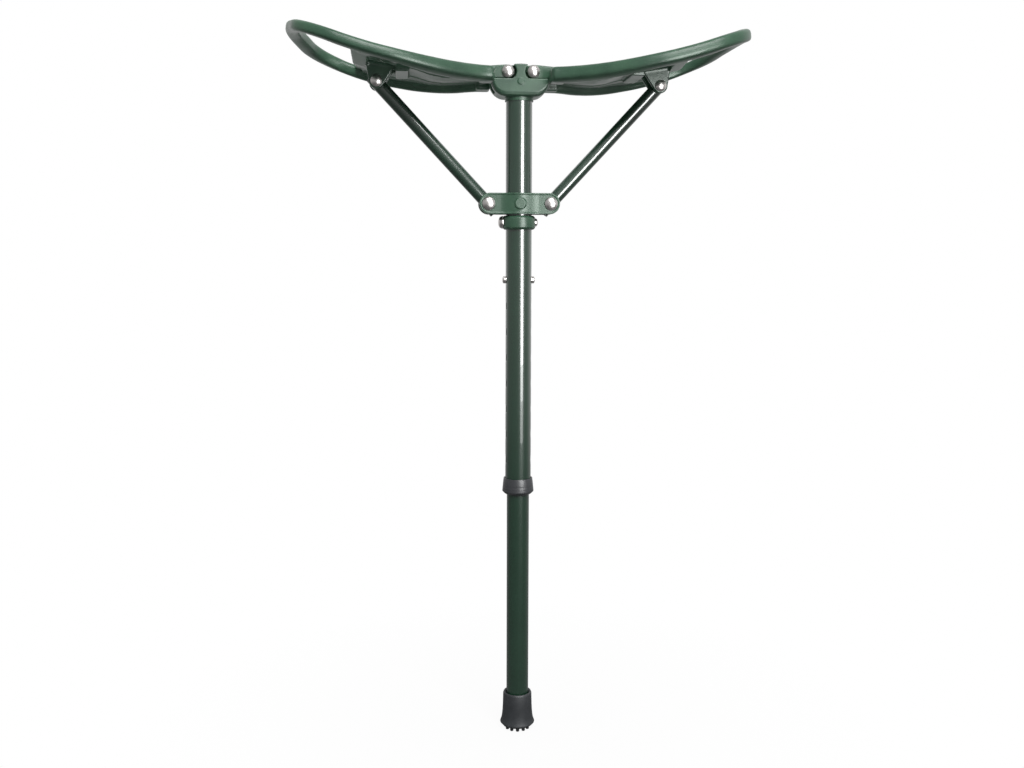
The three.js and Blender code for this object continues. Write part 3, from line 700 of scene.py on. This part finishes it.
def makeStopRingBolt(start, height):
    headEnd = start + bolt["headHeight"]
    tailEnd = start + bolt["tailHeight"]
    curve = [(math.cos(angle), 1 - math.sin(angle)) for angle in bolt["domeAngles"]]
    headDome = [(bolt["head"] * out, -headEnd + bolt["headDome"] * down) for out, down in curve[::-1]]
    tailDome = [(bolt["tail"] * out, tailEnd - bolt["tailDome"] * down) for out, down in curve]
    profile = [
        (0, -headEnd),
        *headDome,
        (bolt["head"], -start),
        (bolt["shank"], -start),
        (bolt["shank"], start),
        (bolt["tail"], start),
        *tailDome,
        (0, tailEnd),
    ]
    piece = spun("stopRingBolt", profile, bolt["sides"], bolt["rounding"], axis="X", place=(0, 0, height))
    fit(piece, "bright_rivet", "upper", "stop_ring_bolt")


makeStopRing()
print("stop ring made")

# Sliding bracket
bracket = dict(pivotReach=30, endReach=28.6, trim=0.3, gap=6.65, cheek=5, rimWidth=1.5, rimProud=0.5)
bracket.update(hubProud=3.9, hubHalf=19, hubWall=1.7, disc=5.3, discProud=0.8, rivetHole=3.1)
bracket.update(bore=13.1, socket=14.5, socketDepth=4.4, overrun=2, drill=3, stock=12)
bracket.update(planHalf=44, planStep=2, endSteps=24, voxel=0.42, smoothing=3)


def hubSwell(x):
    return bracket["hubProud"] * (0.5 + 0.5 * math.cos(math.pi * min(abs(x) / bracket["hubHalf"], 1)))


def makeBracket():
    low, high = boxOf("slider_bracket")
    middle = middleOf("slider_bracket")
    radius = (high.z - low.z) / 2 - bracket["trim"]
    reach = bracket["pivotReach"]
    face = bracket["gap"] + bracket["cheek"]
    deep = face + bracket["stock"]
    bottom = low.z - bracket["overrun"]
    top = high.z + bracket["overrun"]

    def stadium(inset):
        outline = arc(bracket["endReach"], middle.z, radius - inset, -90, 90, bracket["endSteps"])
        outline += arc(-bracket["endReach"], middle.z, radius - inset, 90, 270, bracket["endSteps"])
        return plate("stadium", outline, -deep, deep)

    def planShape(proud):  # front and back faces, swelling round the tube
        places = range(-bracket["planHalf"], bracket["planHalf"] + 1, bracket["planStep"])
        side = [(x, face + proud + hubSwell(x)) for x in places]
        plan = plate("plan", side + [(x, -y) for x, y in side[::-1]], bottom, top)
        reposition(plan, turn=(math.pi / 2, 0, 0))
        return plan

    body = stadium(0)
    combine(body, "INTERSECT", planShape(bracket["rimProud"]))
    pocket = stadium(bracket["rimWidth"])
    combine(pocket, "DIFFERENCE", planShape(0))
    wide = reach + radius + bracket["overrun"]
    slot = block("slot", (-wide, -bracket["gap"], bottom), (wide, bracket["gap"], top))
    combine(body, "DIFFERENCE", slot, pocket)
    discFace = face + bracket["hubProud"] + bracket["discProud"]
    hub = pegZ(bracket["bore"] + bracket["hubWall"], low.z + bracket["trim"], high.z - bracket["trim"])
    combine(body, "UNION", hub, pegY(bracket["disc"], 0, middle.z, -discFace, discFace))
    bore = pegZ(bracket["bore"], bottom, top)
    socket = pegZ(bracket["socket"], high.z - bracket["socketDepth"], top)
    combine(body, "DIFFERENCE", bore, socket)
    mould(body, bracket["voxel"], bracket["smoothing"])
    out = face + bracket["drill"]
    rivetHoles = [pegY(bracket["rivetHole"], x, middle.z, -out, out, holeSides) for x in (-reach, reach)]
    combine(body, "DIFFERENCE", *rivetHoles)
    smoothShade(body, angle=50)
    body.name = "sliderBracket"
    fit(body, "green_moulding", "slider", "slider_bracket")


makeBracket()
print("bracket made")

# Rivets; the heads of the long ones are a little smaller than in the CAD
rivet = dict(shank=2.8, edge=0.9, cap=2.1, capSteps=9, headTrim=0.5, gap=0.3, bevel=0.3)
rivet.update(rounding=0.12, sides=64)


# One side of a rivet along its axis, from `inner` to the low cap that sits on a face
def rivetSide(inner, face, radius):
    start = face + rivet["gap"]
    edge = start + rivet["edge"]
    rim = radius - rivet["bevel"]
    ball = (rim**2 + rivet["cap"] ** 2) / (2 * rivet["cap"])
    steps = [rim * (1 - step / rivet["capSteps"]) for step in range(rivet["capSteps"] + 1)]
    cap = [(r, edge + rivet["cap"] - ball + math.sqrt(ball**2 - r**2)) for r in steps]
    shank = [(rivet["shank"], inner), (rivet["shank"], start)]
    return shank + [(radius, start), (radius, edge - rivet["bevel"]), *cap]


def makeThroughRivet(name, node, body, face):
    low, high = boxOf(node)
    middle = middleOf(node)
    side = rivetSide(0, face, (high.x - low.x) / 2 - rivet["headTrim"])[1:]
    profile = [(r, -y) for r, y in side[::-1]] + side
    place = (middle.x, 0, middle.z)
    piece = spun(name, profile, rivet["sides"], rivet["rounding"], axis="Y", place=place)
    fit(piece, "bright_rivet", body, node)


def makeShortRivet(name, node, sign):
    low, high = boxOf(node)
    middle = middleOf(node)
    face = bracket["gap"] + bracket["cheek"]
    side = [(0, bracket["gap"]), *rivetSide(bracket["gap"], face, (high.x - low.x) / 2)]
    piece = spun(name, side, rivet["sides"], rivet["rounding"], axis="Y")
    reposition(piece, turn=(0, 0, 0 if sign > 0 else math.pi), place=(middle.x, 0, middle.z))
    fit(piece, "bright_rivet", "slider", node)


# Where the seat halves' ears and lugs lie, from the middle outwards
ear = dict(inner=6.8, thickness=8.4, lean=7)
lug = dict(inner=6.65, thickness=3.8)
earFace = ear["inner"] + ear["thickness"]
lugFace = lug["inner"] + lug["thickness"]
for side in ("left", "right"):
    makeThroughRivet("hingeRivet_" + side, "hinge_rivet_" + side, "upper", earFace)
    makeThroughRivet("strutRivet_" + side, "strut_rivet_" + side, "wing_" + side, lugFace)
    makeShortRivet("sliderRivetFront_" + side, "slider_rivet_" + side + "_front", -1)
    makeShortRivet("sliderRivetBack_" + side, "slider_rivet_" + side + "_back", 1)
print("rivets made")

# Struts
strut = dict(radius=6.35, lowerOverhang=11, upperOverhang=6.8, hole=3.1, drill=9, sides=72)


def makeStruts():
    lower = middleOf("slider_rivet_right_front")
    upper = middleOf("strut_rivet_right")
    axis = Vector((upper.x - lower.x, 0, upper.z - lower.z))
    bottom = -strut["lowerOverhang"]
    top = axis.length + strut["upperOverhang"]
    right = tube("strutTube_right", strut["radius"], bottom, top, strut["sides"])
    ends = (0, axis.length)
    pins = [pegY(strut["hole"], 0, z, -strut["drill"], strut["drill"], holeSides) for z in ends]
    combine(right, "DIFFERENCE", *pins)
    smoothShade(right, tubes["shadeAngle"])
    reposition(right, turn=(0, math.atan2(axis.x, axis.z), 0), place=(lower.x, 0, lower.z))
    left = halfTurnCopy(right, "strutTube_left")
    fit(right, "painted_tube", "strut_right", "strut_right")
    fit(left, "painted_tube", "strut_left", "strut_left")


makeStruts()
print("struts made")

# Head block
head = dict(halfWidth=28, halfDepth=17, drop=22.8, shelfDrop=6.7, corner=15, edge=4.4, faceSpread=1.09)
head.update(tongue=6.5, tongueRadius=6.8, hollow=8, shoulder=6, mark=2.9, markProud=0.7, markDrop=9.2)
head.update(sleeve=13.6, sleeveLength=3.4, sleeveRoot=4, bore=13, boreTop=645.2, hingeHole=3.2)
head.update(slotStart=23.35, slotHalf=6.95, pinHole=2.3, pinHoleStart=-14, root=2, overrun=2)
head.update(cornerSteps=14, edgeSteps=2, eyeSteps=48, hollowSteps=16, crownAngles=(30, 60, 90))
head.update(voxel=0.45, smoothing=3)


# The block itself: its lower corners rounded, its faces bevelled and nearly as wide as the whole
def makeHeadBody(bottom, shelf):
    wide, deep = head["halfWidth"], head["halfDepth"]
    body = block("headBlock", (-wide, -deep, bottom), (wide, deep, shelf))

    def isLowerCorner(one, other):
        return abs(one.y - other.y) > tiny and max(one.z, other.z) < bottom + tiny

    def isFaceEdge(one, other):
        onFace = abs(one.y - other.y) < tiny and abs(abs(one.y) - deep) < tiny
        return onFace and min(one.z, other.z) < shelf - tiny

    bevelEdges(body, isLowerCorner, head["corner"], head["cornerSteps"])
    bevelEdges(body, isFaceEdge, head["edge"], head["edgeSteps"])
    for vertex in body.data.vertices:
        if abs(vertex.co.y) > (deep - tiny) * mm:
            vertex.co.x *= head["faceSpread"]
    return body


# The boss between the two ears: hollow round each ear's end, with a low crown between
def makeHeadBoss(hinge, shelf):
    lowAngle = math.degrees(math.asin(head["shelfDrop"] / head["hollow"]))
    highAngle = math.degrees(math.asin(head["shoulder"] / head["hollow"]))
    hollow = arc(hinge.x, hinge.z, head["hollow"], 180 + lowAngle, 180 - highAngle, head["hollowSteps"])
    shoulderX, shoulderZ = hollow[-1]
    rise = hinge.z + head["tongueRadius"] - shoulderZ
    angles = [math.radians(angle) for angle in head["crownAngles"]]
    crown = [(shoulderX * math.cos(a), shoulderZ + rise * math.sin(a)) for a in angles]
    right = [(hollow[0][0], shelf - head["root"]), *hollow, *crown]
    outline = right + [(-x, z) for x, z in right[-2::-1]]
    return plate("boss", outline, -head["halfDepth"], head["halfDepth"])


def makeHead():
    hinge = middleOf("hinge_rivet_right")
    bottom = hinge.z - head["drop"]
    shelf = hinge.z - head["shelfDrop"]
    wide, deep = head["halfWidth"], head["halfDepth"]
    body = makeHeadBody(bottom, shelf)

    tongueHalf = arc(hinge.x, hinge.z, head["tongueRadius"], 0, 360, head["eyeSteps"])
    tongueHalf.append((hinge.x, shelf - head["root"]))
    tongueOutline = hull(tongueHalf + [(-x, z) for x, z in tongueHalf])
    tongue = plate("tongue", tongueOutline, -head["tongue"], head["tongue"])
    boss = makeHeadBoss(hinge, shelf)
    sleeve = pegZ(head["sleeve"], bottom - head["sleeveLength"], bottom + head["sleeveRoot"])
    markFace = -deep - head["markProud"]
    mark = pegY(head["mark"], 0, hinge.z - head["markDrop"], markFace, -deep + head["root"])
    combine(body, "UNION", tongue, boss, sleeve, mark)

    over = head["overrun"]
    half = head["slotHalf"]
    slots = []
    for start, end in ((-wide - over, -head["slotStart"]), (head["slotStart"], wide + over)):
        slots.append(block("slot", (start, -half, bottom - over), (end, half, shelf + over)))
    bore = pegZ(head["bore"], bottom - head["sleeveLength"] - over, head["boreTop"])
    combine(body, "DIFFERENCE", bore, *slots)
    mould(body, head["voxel"], head["smoothing"])
    out = deep + over
    hingeHoles = [pegY(head["hingeHole"], x, hinge.z, -out, out, holeSides) for x in (-hinge.x, hinge.x)]
    pinHole = pegY(head["pinHole"], 0, middleOf("head_pin").z, head["pinHoleStart"], out, holeSides)
    combine(body, "DIFFERENCE", *hingeHoles, pinHole)
    smoothShade(body, angle=50)
    fit(body, "green_moulding", "upper", "head_block")


makeHead()
print("head made")

# Pin that holds the head on the tube, its head at the back
pin = dict(radius=2, head=3.4, edge=0.5, topShare=0.7, crown=0.1, rounding=0.2, sides=40)


def makeHeadPin():
    low, high = boxOf("head_pin")
    seat = head["halfDepth"] + rivet["gap"]
    profile = [
        (0, low.y),
        (pin["radius"], low.y),
        (pin["radius"], seat),
        (pin["head"], seat),
        (pin["head"], seat + pin["edge"]),
        (pin["head"] * pin["topShare"], high.y - pin["crown"]),
        (0, high.y),
    ]
    place = (0, 0, middleOf("head_pin").z)
    piece = spun("headPin", profile, pin["sides"], pin["rounding"], axis="Y", place=place)
    fit(piece, "bright_rivet", "upper", "head_pin")


makeHeadPin()

# Seat halves
wing = dict(reach=198.8, halfDepth=78.2, rise=35.55, rimWidth=13.5, rimThickness=11.3, lean=-8)
wing.update(squareness=0.62, nearSwell=0.06, farSwell=-0.1, swellFrom=80, swellTo=135)
wing.update(innerSwell=0.2, innerFrom=115, innerTo=60, panelStart=20.3, crown=0.8, dish=2, lip=1)
wing.update(shoulderStart=14.2, shoulderInner=17.9, shoulderOuter=37.5, shoulderRound=1.5)
wing.update(ribDepth=1.1, ribWidth=0.02, ribPlaceShares=(0.34, 0.64))
wing.update(gripStart=131, gripWidth=14, gripDrop=5, gripArch=7.8)
wing.update(earReach=28, earTop=4.2, earRadius=6.4, lugRadius=7.1, lugInside=18, lugOutside=10, lugRoot=2)
wing.update(bridgeInset=30, bridgeWidth=12, bridgeHalf=24, bridgeDrop=3.2, hole=3.1, drill=20)
wing.update(pathSteps=10, sectionCorners=36, panelColumns=60, gripColumns=14, sheetRows=110, eyeSteps=40)
wing.update(voxel=0.95, smoothing=5)
# Rim from the ear to the end: shares of the reach, the half depth and the rise
rimShares = [
    (0.09, 0.41, -0.126),
    (0.13, 0.44, -0.126),
    (0.181, 0.503, -0.126),
    (0.241, 0.603, -0.126),
    (0.367, 0.797, -0.084),
    (0.518, 0.958, 0.039),
    (0.643, 1, 0.194),
    (0.744, 1, 0.357),
    (0.844, 0.95, 0.559),
    (0.931, 0.77, 0.758),
    (0.974, 0.46, 0.9),
    (1, 0, 1),
]
# Keel under the middle: shares of the reach and the rise
keelShares = [
    (0.1, -0.17),
    (0.181, -0.2),
    (0.241, -0.225),
    (0.306, -0.235),
    (0.367, -0.17),
    (0.427, -0.04),
    (0.478, 0.05),
    (0.72, 0.27),
]


def between(table, x):  # value of a table of (x, value) at x, by straight lines
    inside = sum(row[0] < x for row in table[1:-1])
    (startX, start), (endX, end) = table[inside : inside + 2]
    return start + (end - start) * (x - startX) / (endX - startX)


def along(x, start, end):  # 0 up to the start and 1 from the end on
    return min(max((x - start) / (end - start), 0), 1)


def squared(share):  # a cosine or sine that pushes the corners of its outline out
    return math.copysign(abs(share) ** wing["squareness"], share)


# The rim's path round the seat half; where the rim gets deeper, its top edge stays where it is
def makeRimPath(front):
    points = front + [Vector((p.x, -p.y, p.z)) for p in front[-2::-1]]
    arm = len(front) - 1
    swells = [wing["nearSwell"]] * arm + [0] + [wing["farSwell"]] * arm
    path = bpy.data.curves.new("rimPath", "CURVE")
    path.dimensions = "3D"
    path.twist_mode = "Z_UP"
    path.resolution_u = wing["pathSteps"]
    spline = path.splines.new("BEZIER")
    spline.bezier_points.add(len(points) - 1)
    for knot, point, swell in zip(spline.bezier_points, points, swells):
        inner = wing["innerSwell"] * along(point.x, wing["innerFrom"], wing["innerTo"])
        knot.co = point * mm
        knot.co -= Vector((0, 0, inner * wing["rimThickness"] / 2 * mm))
        knot.handle_left_type = knot.handle_right_type = "AUTO"
        knot.tilt = math.radians(wing["lean"])
        knot.radius = 1 + swell * along(point.x, wing["swellFrom"], wing["swellTo"]) + inner
    return path


def makeRimSection():
    section = bpy.data.curves.new("rimSection", "CURVE")
    section.dimensions = "2D"
    outline = section.splines.new("POLY")
    outline.points.add(wing["sectionCorners"] - 1)
    for number, point in enumerate(outline.points):
        angle = 2 * math.pi * number / wing["sectionCorners"]
        across = squared(math.cos(angle)) * wing["rimWidth"] / 2
        through = squared(math.sin(angle)) * wing["rimThickness"] / 2
        point.co = (across * mm, through * mm, 0, 1)
    outline.use_cyclic_u = True
    return section


def makeRim(front):
    path = makeRimPath(front)
    section = linked("rimSection", makeRimSection())
    path.bevel_mode = "OBJECT"
    path.bevel_object = section
    path.use_fill_caps = True
    pickOnly(linked("rim", path))
    bpy.ops.object.convert(target="MESH")
    rim = bpy.context.active_object
    bpy.data.objects.remove(section)
    bpy.ops.object.mode_set(mode="EDIT")
    weld()
    closeMesh()
    return rim


# A sheet across the rim, its top and bottom given by where along and how far across (0 to 1);
# it starts as a slab from -1 to 1 both ways, its top at 0 and its bottom at -1
def sheet(name, start, end, columns, depths, topAt, bottomAt):
    bpy.ops.object.select_all(action="DESELECT")
    bpy.ops.mesh.primitive_grid_add(x_subdivisions=columns, y_subdivisions=wing["sheetRows"], size=2)
    piece = bpy.context.active_object
    piece.name = name
    bpy.ops.object.mode_set(mode="EDIT")
    bpy.ops.mesh.select_all(action="SELECT")
    extrude((0, 0, -1))
    bpy.ops.object.mode_set(mode="OBJECT")
    for vertex in piece.data.vertices:
        share = vertex.co.y
        x = start + (end - start) * (vertex.co.x + 1) / 2
        z = topAt(x, abs(share)) if vertex.co.z > -0.5 else bottomAt(x, abs(share))
        vertex.co = Vector((x, share * between(depths, x), z)) * mm
    bpy.ops.object.mode_set(mode="EDIT")
    closeMesh()
    return piece


def makePanelAndGrip(hinge, depths, heights):
    keel = [(hinge.x + out * wing["reach"], hinge.z + up * wing["rise"]) for out, up in keelShares]

    def top(x, share):
        crown = wing["rimThickness"] / 2 - wing["crown"]
        return between(heights, x) + crown - wing["dish"] * (1 - share**2)

    def panelBottom(x, share):
        middle = between(keel, x)
        z = middle + (between(heights, x) - wing["lip"] - middle) * share
        for place in wing["ribPlaceShares"]:
            z -= wing["ribDepth"] * math.exp(-(((share - place) / wing["ribWidth"]) ** 4))
        return z

    def gripBottom(x, share):
        return between(heights, x) - wing["gripDrop"] + wing["gripArch"] * share

    panelStart = hinge.x + wing["panelStart"]
    start = hinge.x + wing["gripStart"]
    end = start + wing["gripWidth"]
    panelEnd = (start + end) / 2
    panel = sheet("panel", panelStart, panelEnd, wing["panelColumns"], depths, top, panelBottom)
    return [panel, sheet("grip", start, end, wing["gripColumns"], depths, top, gripBottom)]


def makeBridge(hinge, pivot, heights):
    start = pivot.x - wing["bridgeInset"]
    low = (start, -wing["bridgeHalf"], hinge.z - wing["bridgeDrop"])
    high = (start + wing["bridgeWidth"], wing["bridgeHalf"], between(heights, start) + wing["lip"])
    return block("bridge", low, high)


def makeShoulder(hinge, heights, sign):
    end = hinge.x + wing["earReach"]
    height = between(heights, end)
    half = wing["rimThickness"] / 2
    front, back = sorted((sign * wing["shoulderInner"], sign * wing["shoulderOuter"]))
    low = (hinge.x + wing["shoulderStart"], front, height - half * (1 + 2 * wing["innerSwell"]))
    high = (end, back, height + half - wing["crown"])
    piece = block("shoulder", low, high)
    roundEdges(piece, wing["shoulderRound"])
    return piece


def layer(name, outline, sizes, sign):  # a plate from an ear's or lug's inner face outwards
    front, back = sorted((sign * sizes["inner"], sign * (sizes["inner"] + sizes["thickness"])))
    return plate(name, outline, front, back)


# An ear on the hinge rivet, its outer face leaning in towards its lower edge
def makeEar(hinge, sign):
    end = hinge.x + wing["earReach"]
    eye = arc(hinge.x, hinge.z, wing["earRadius"], 0, 360, wing["eyeSteps"])
    outline = hull(eye + [(end, hinge.z + wing["earTop"]), (end, hinge.z - wing["earRadius"])])
    piece = layer("ear", outline, ear, sign)
    for vertex in piece.data.vertices:
        if abs(vertex.co.y) > (ear["inner"] + tiny) * mm:
            below = (hinge.z + wing["earRadius"]) * mm - vertex.co.z
            vertex.co.y -= sign * below * math.tan(math.radians(ear["lean"]))
    return piece


# A lug on the strut's rivet
def makeLug(pivot, heights, sign):
    eye = arc(pivot.x, pivot.z, wing["lugRadius"], 0, 360, wing["eyeSteps"])
    roots = (pivot.x - wing["lugInside"], pivot.x + wing["lugOutside"])
    outline = hull(eye + [(x, between(heights, x) + wing["lugRoot"]) for x in roots])
    return layer("lug", outline, lug, sign)


def makeWings():
    hinge = middleOf("hinge_rivet_right")
    pivot = middleOf("strut_rivet_right")
    front = [
        Vector((hinge.x + out * wing["reach"], -deep * wing["halfDepth"], hinge.z + up * wing["rise"]))
        for out, deep, up in rimShares
    ]
    depths = [(p.x, -p.y) for p in front]
    heights = [(p.x, p.z) for p in front]
    pieces = [makeRim(front), *makePanelAndGrip(hinge, depths, heights), makeBridge(hinge, pivot, heights)]
    for sign in (-1, 1):
        pieces += [makeShoulder(hinge, heights, sign), makeEar(hinge, sign), makeLug(pivot, heights, sign)]
    right = joinAll("seatHalf_right", pieces)
    mould(right, wing["voxel"], wing["smoothing"])
    out = wing["drill"]
    rivetHoles = [pegY(wing["hole"], point.x, point.z, -out, out, holeSides) for point in (hinge, pivot)]
    combine(right, "DIFFERENCE", joinAll("holes", rivetHoles))
    smoothShade(right, angle=55)
    left = halfTurnCopy(right, "seatHalf_left")
    fit(right, "green_moulding", "wing_right", "seat_wing_right")
    fit(left, "green_moulding", "wing_left", "seat_wing_left")


makeWings()
print("seat halves made")

# Floor, backdrop and light
studio = dict(floorSize=30, floorWhite=0.85, floorBounce=0.35, shadowShare=0.06, shadowReach=0.4)
studio.update(roomLight=0.34, backward=(0.35, 0.9, 0), frontShare=0.42, frontSpan=(-0.1, 0.6))
studio.update(belowShare=0.3, belowSpan=(-0.5, -0.04), middle=0.6)


# How white the room looks from the object towards a direction: white behind, dim in front and below
def roomWhite(nodes, direction):
    toward = nodes.vector("NORMALIZE", direction)
    facing = nodes.vector("DOT_PRODUCT", toward, studio["backward"], output="Value")
    height = nodes.add("ShaderNodeSeparateXYZ", {}, [toward], "Z")
    front = nodes.mapped(facing, *studio["frontSpan"], studio["frontShare"], 1)
    return front * nodes.mapped(height, *studio["belowSpan"], studio["belowShare"], 1)


# A white floor that the camera sees as paper with a faint shadow, and that gives little light back
def makeFloor():
    bpy.ops.object.select_all(action="DESELECT")
    bpy.ops.mesh.primitive_plane_add(size=studio["floorSize"])
    floor = bpy.context.active_object
    floor.name = "floor"
    paper = Finish("whiteFloor", Roughness=0.9)
    whites = [(share, share, share, 1) for share in (studio["floorWhite"], studio["floorBounce"])]
    paper.send(Base_Color=paper.mixedColour(paper.ray("Diffuse"), *whites))
    distance = paper.vector("LENGTH", paper.place, output="Value")
    bright = paper.mapped(distance, 0, studio["shadowReach"], 1 - studio["shadowShare"], 1)
    seen = paper.mixedValue(paper.ray("Glossy"), paper.ray("Camera"), 1.0)
    fromMiddle = paper.vector("SUBTRACT", paper.place, (0, 0, studio["middle"]))
    white = paper.mixedValue(paper.ray("Glossy"), 1.0, roomWhite(paper, fromMiddle))
    glow = paper.add("ShaderNodeEmission", {}, {"Strength": white})
    matt = Wire(paper, paper.shader.outputs[0])
    surface = paper.add("ShaderNodeMixShader", {}, {"Fac": seen * bright, 1: matt, 2: glow})
    paper.connect(surface, "Material Output", "Surface")
    floor.data.materials.append(paper.material)


def makeRoom():
    world = bpy.data.worlds.new("studio")
    world.use_nodes = True
    room = Nodes(world.node_tree)
    world.node_tree.nodes["Background"].inputs["Color"].default_value = (1, 1, 1, 1)
    direction = room.given("ShaderNodeTexCoord", "Generated")
    unseen = room.mixedValue(room.ray("Glossy"), studio["roomLight"], roomWhite(room, direction))
    room.connect(room.mixedValue(room.ray("Camera"), unseen, 1.0), "Background", "Strength")
    bpy.context.scene.world = world


# Soft boxes: where they stand, where they point, their size in metres and their light
softBoxes = {
    "card": dict(at=(0.296, -0.634, 0.52), aim=(0, 0, 0.52), size=(0.27, 0.44), power=6.4),
    "cardEdge": dict(at=(0.296, -0.634, 0.27), aim=(0, 0, 0.27), size=(0.27, 0.06), power=0.43),
    "cardFade": dict(at=(0.296, -0.634, 0.205), aim=(0, 0, 0.205), size=(0.27, 0.07), power=0.2),
    "key": dict(at=(0.4, -1.9, 2.3), aim=(0, 0, 0.6), size=(1.5, 1.2), power=66),
}


def makeSoftBoxes():
    for name, box in softBoxes.items():
        data = bpy.data.lights.new(name, "AREA")
        data.shape = "RECTANGLE"
        data.size, data.size_y = box["size"]
        data.energy = box["power"]
        lamp = linked(name, data)
        lamp.location = box["at"]
        lamp.rotation_euler = (Vector(box["aim"]) - Vector(box["at"])).to_track_quat("-Z", "Y").to_euler()
        lamp.visible_camera = False
        lamp.visible_diffuse = name == "key"  # the cards only show as streaks in what is glossy


# Camera, fitted to the photograph
viewpoint = dict(place=(-108.3, -1024.0, 487.9), azimuth=-5.695, elevation=7.305, roll=0.137, lens=36.91)
viewpoint.update(sensor=36)


def makeCamera():
    azimuth, elevation, roll = (math.radians(viewpoint[k]) for k in ("azimuth", "elevation", "roll"))
    back = Vector((
        math.sin(azimuth) * math.cos(elevation),
        -math.cos(azimuth) * math.cos(elevation),
        math.sin(elevation),
    ))
    level = Vector((math.cos(azimuth), math.sin(azimuth), 0))
    right = level * math.cos(roll) + back.cross(level) * math.sin(roll)
    up = back.cross(right)
    data = bpy.data.cameras.new("camera")
    data.lens = viewpoint["lens"]
    data.sensor_width = viewpoint["sensor"]
    camera = linked("camera", data)
    turn = Matrix((right, up, back)).transposed().to_4x4()
    camera.matrix_world = Matrix.Translation(Vector(viewpoint["place"]) * mm) @ turn
    bpy.context.scene.camera = camera


makeFloor()
makeRoom()
makeSoftBoxes()
makeCamera()
bpy.context.scene.view_settings.view_transform = "Standard"
print("studio made")
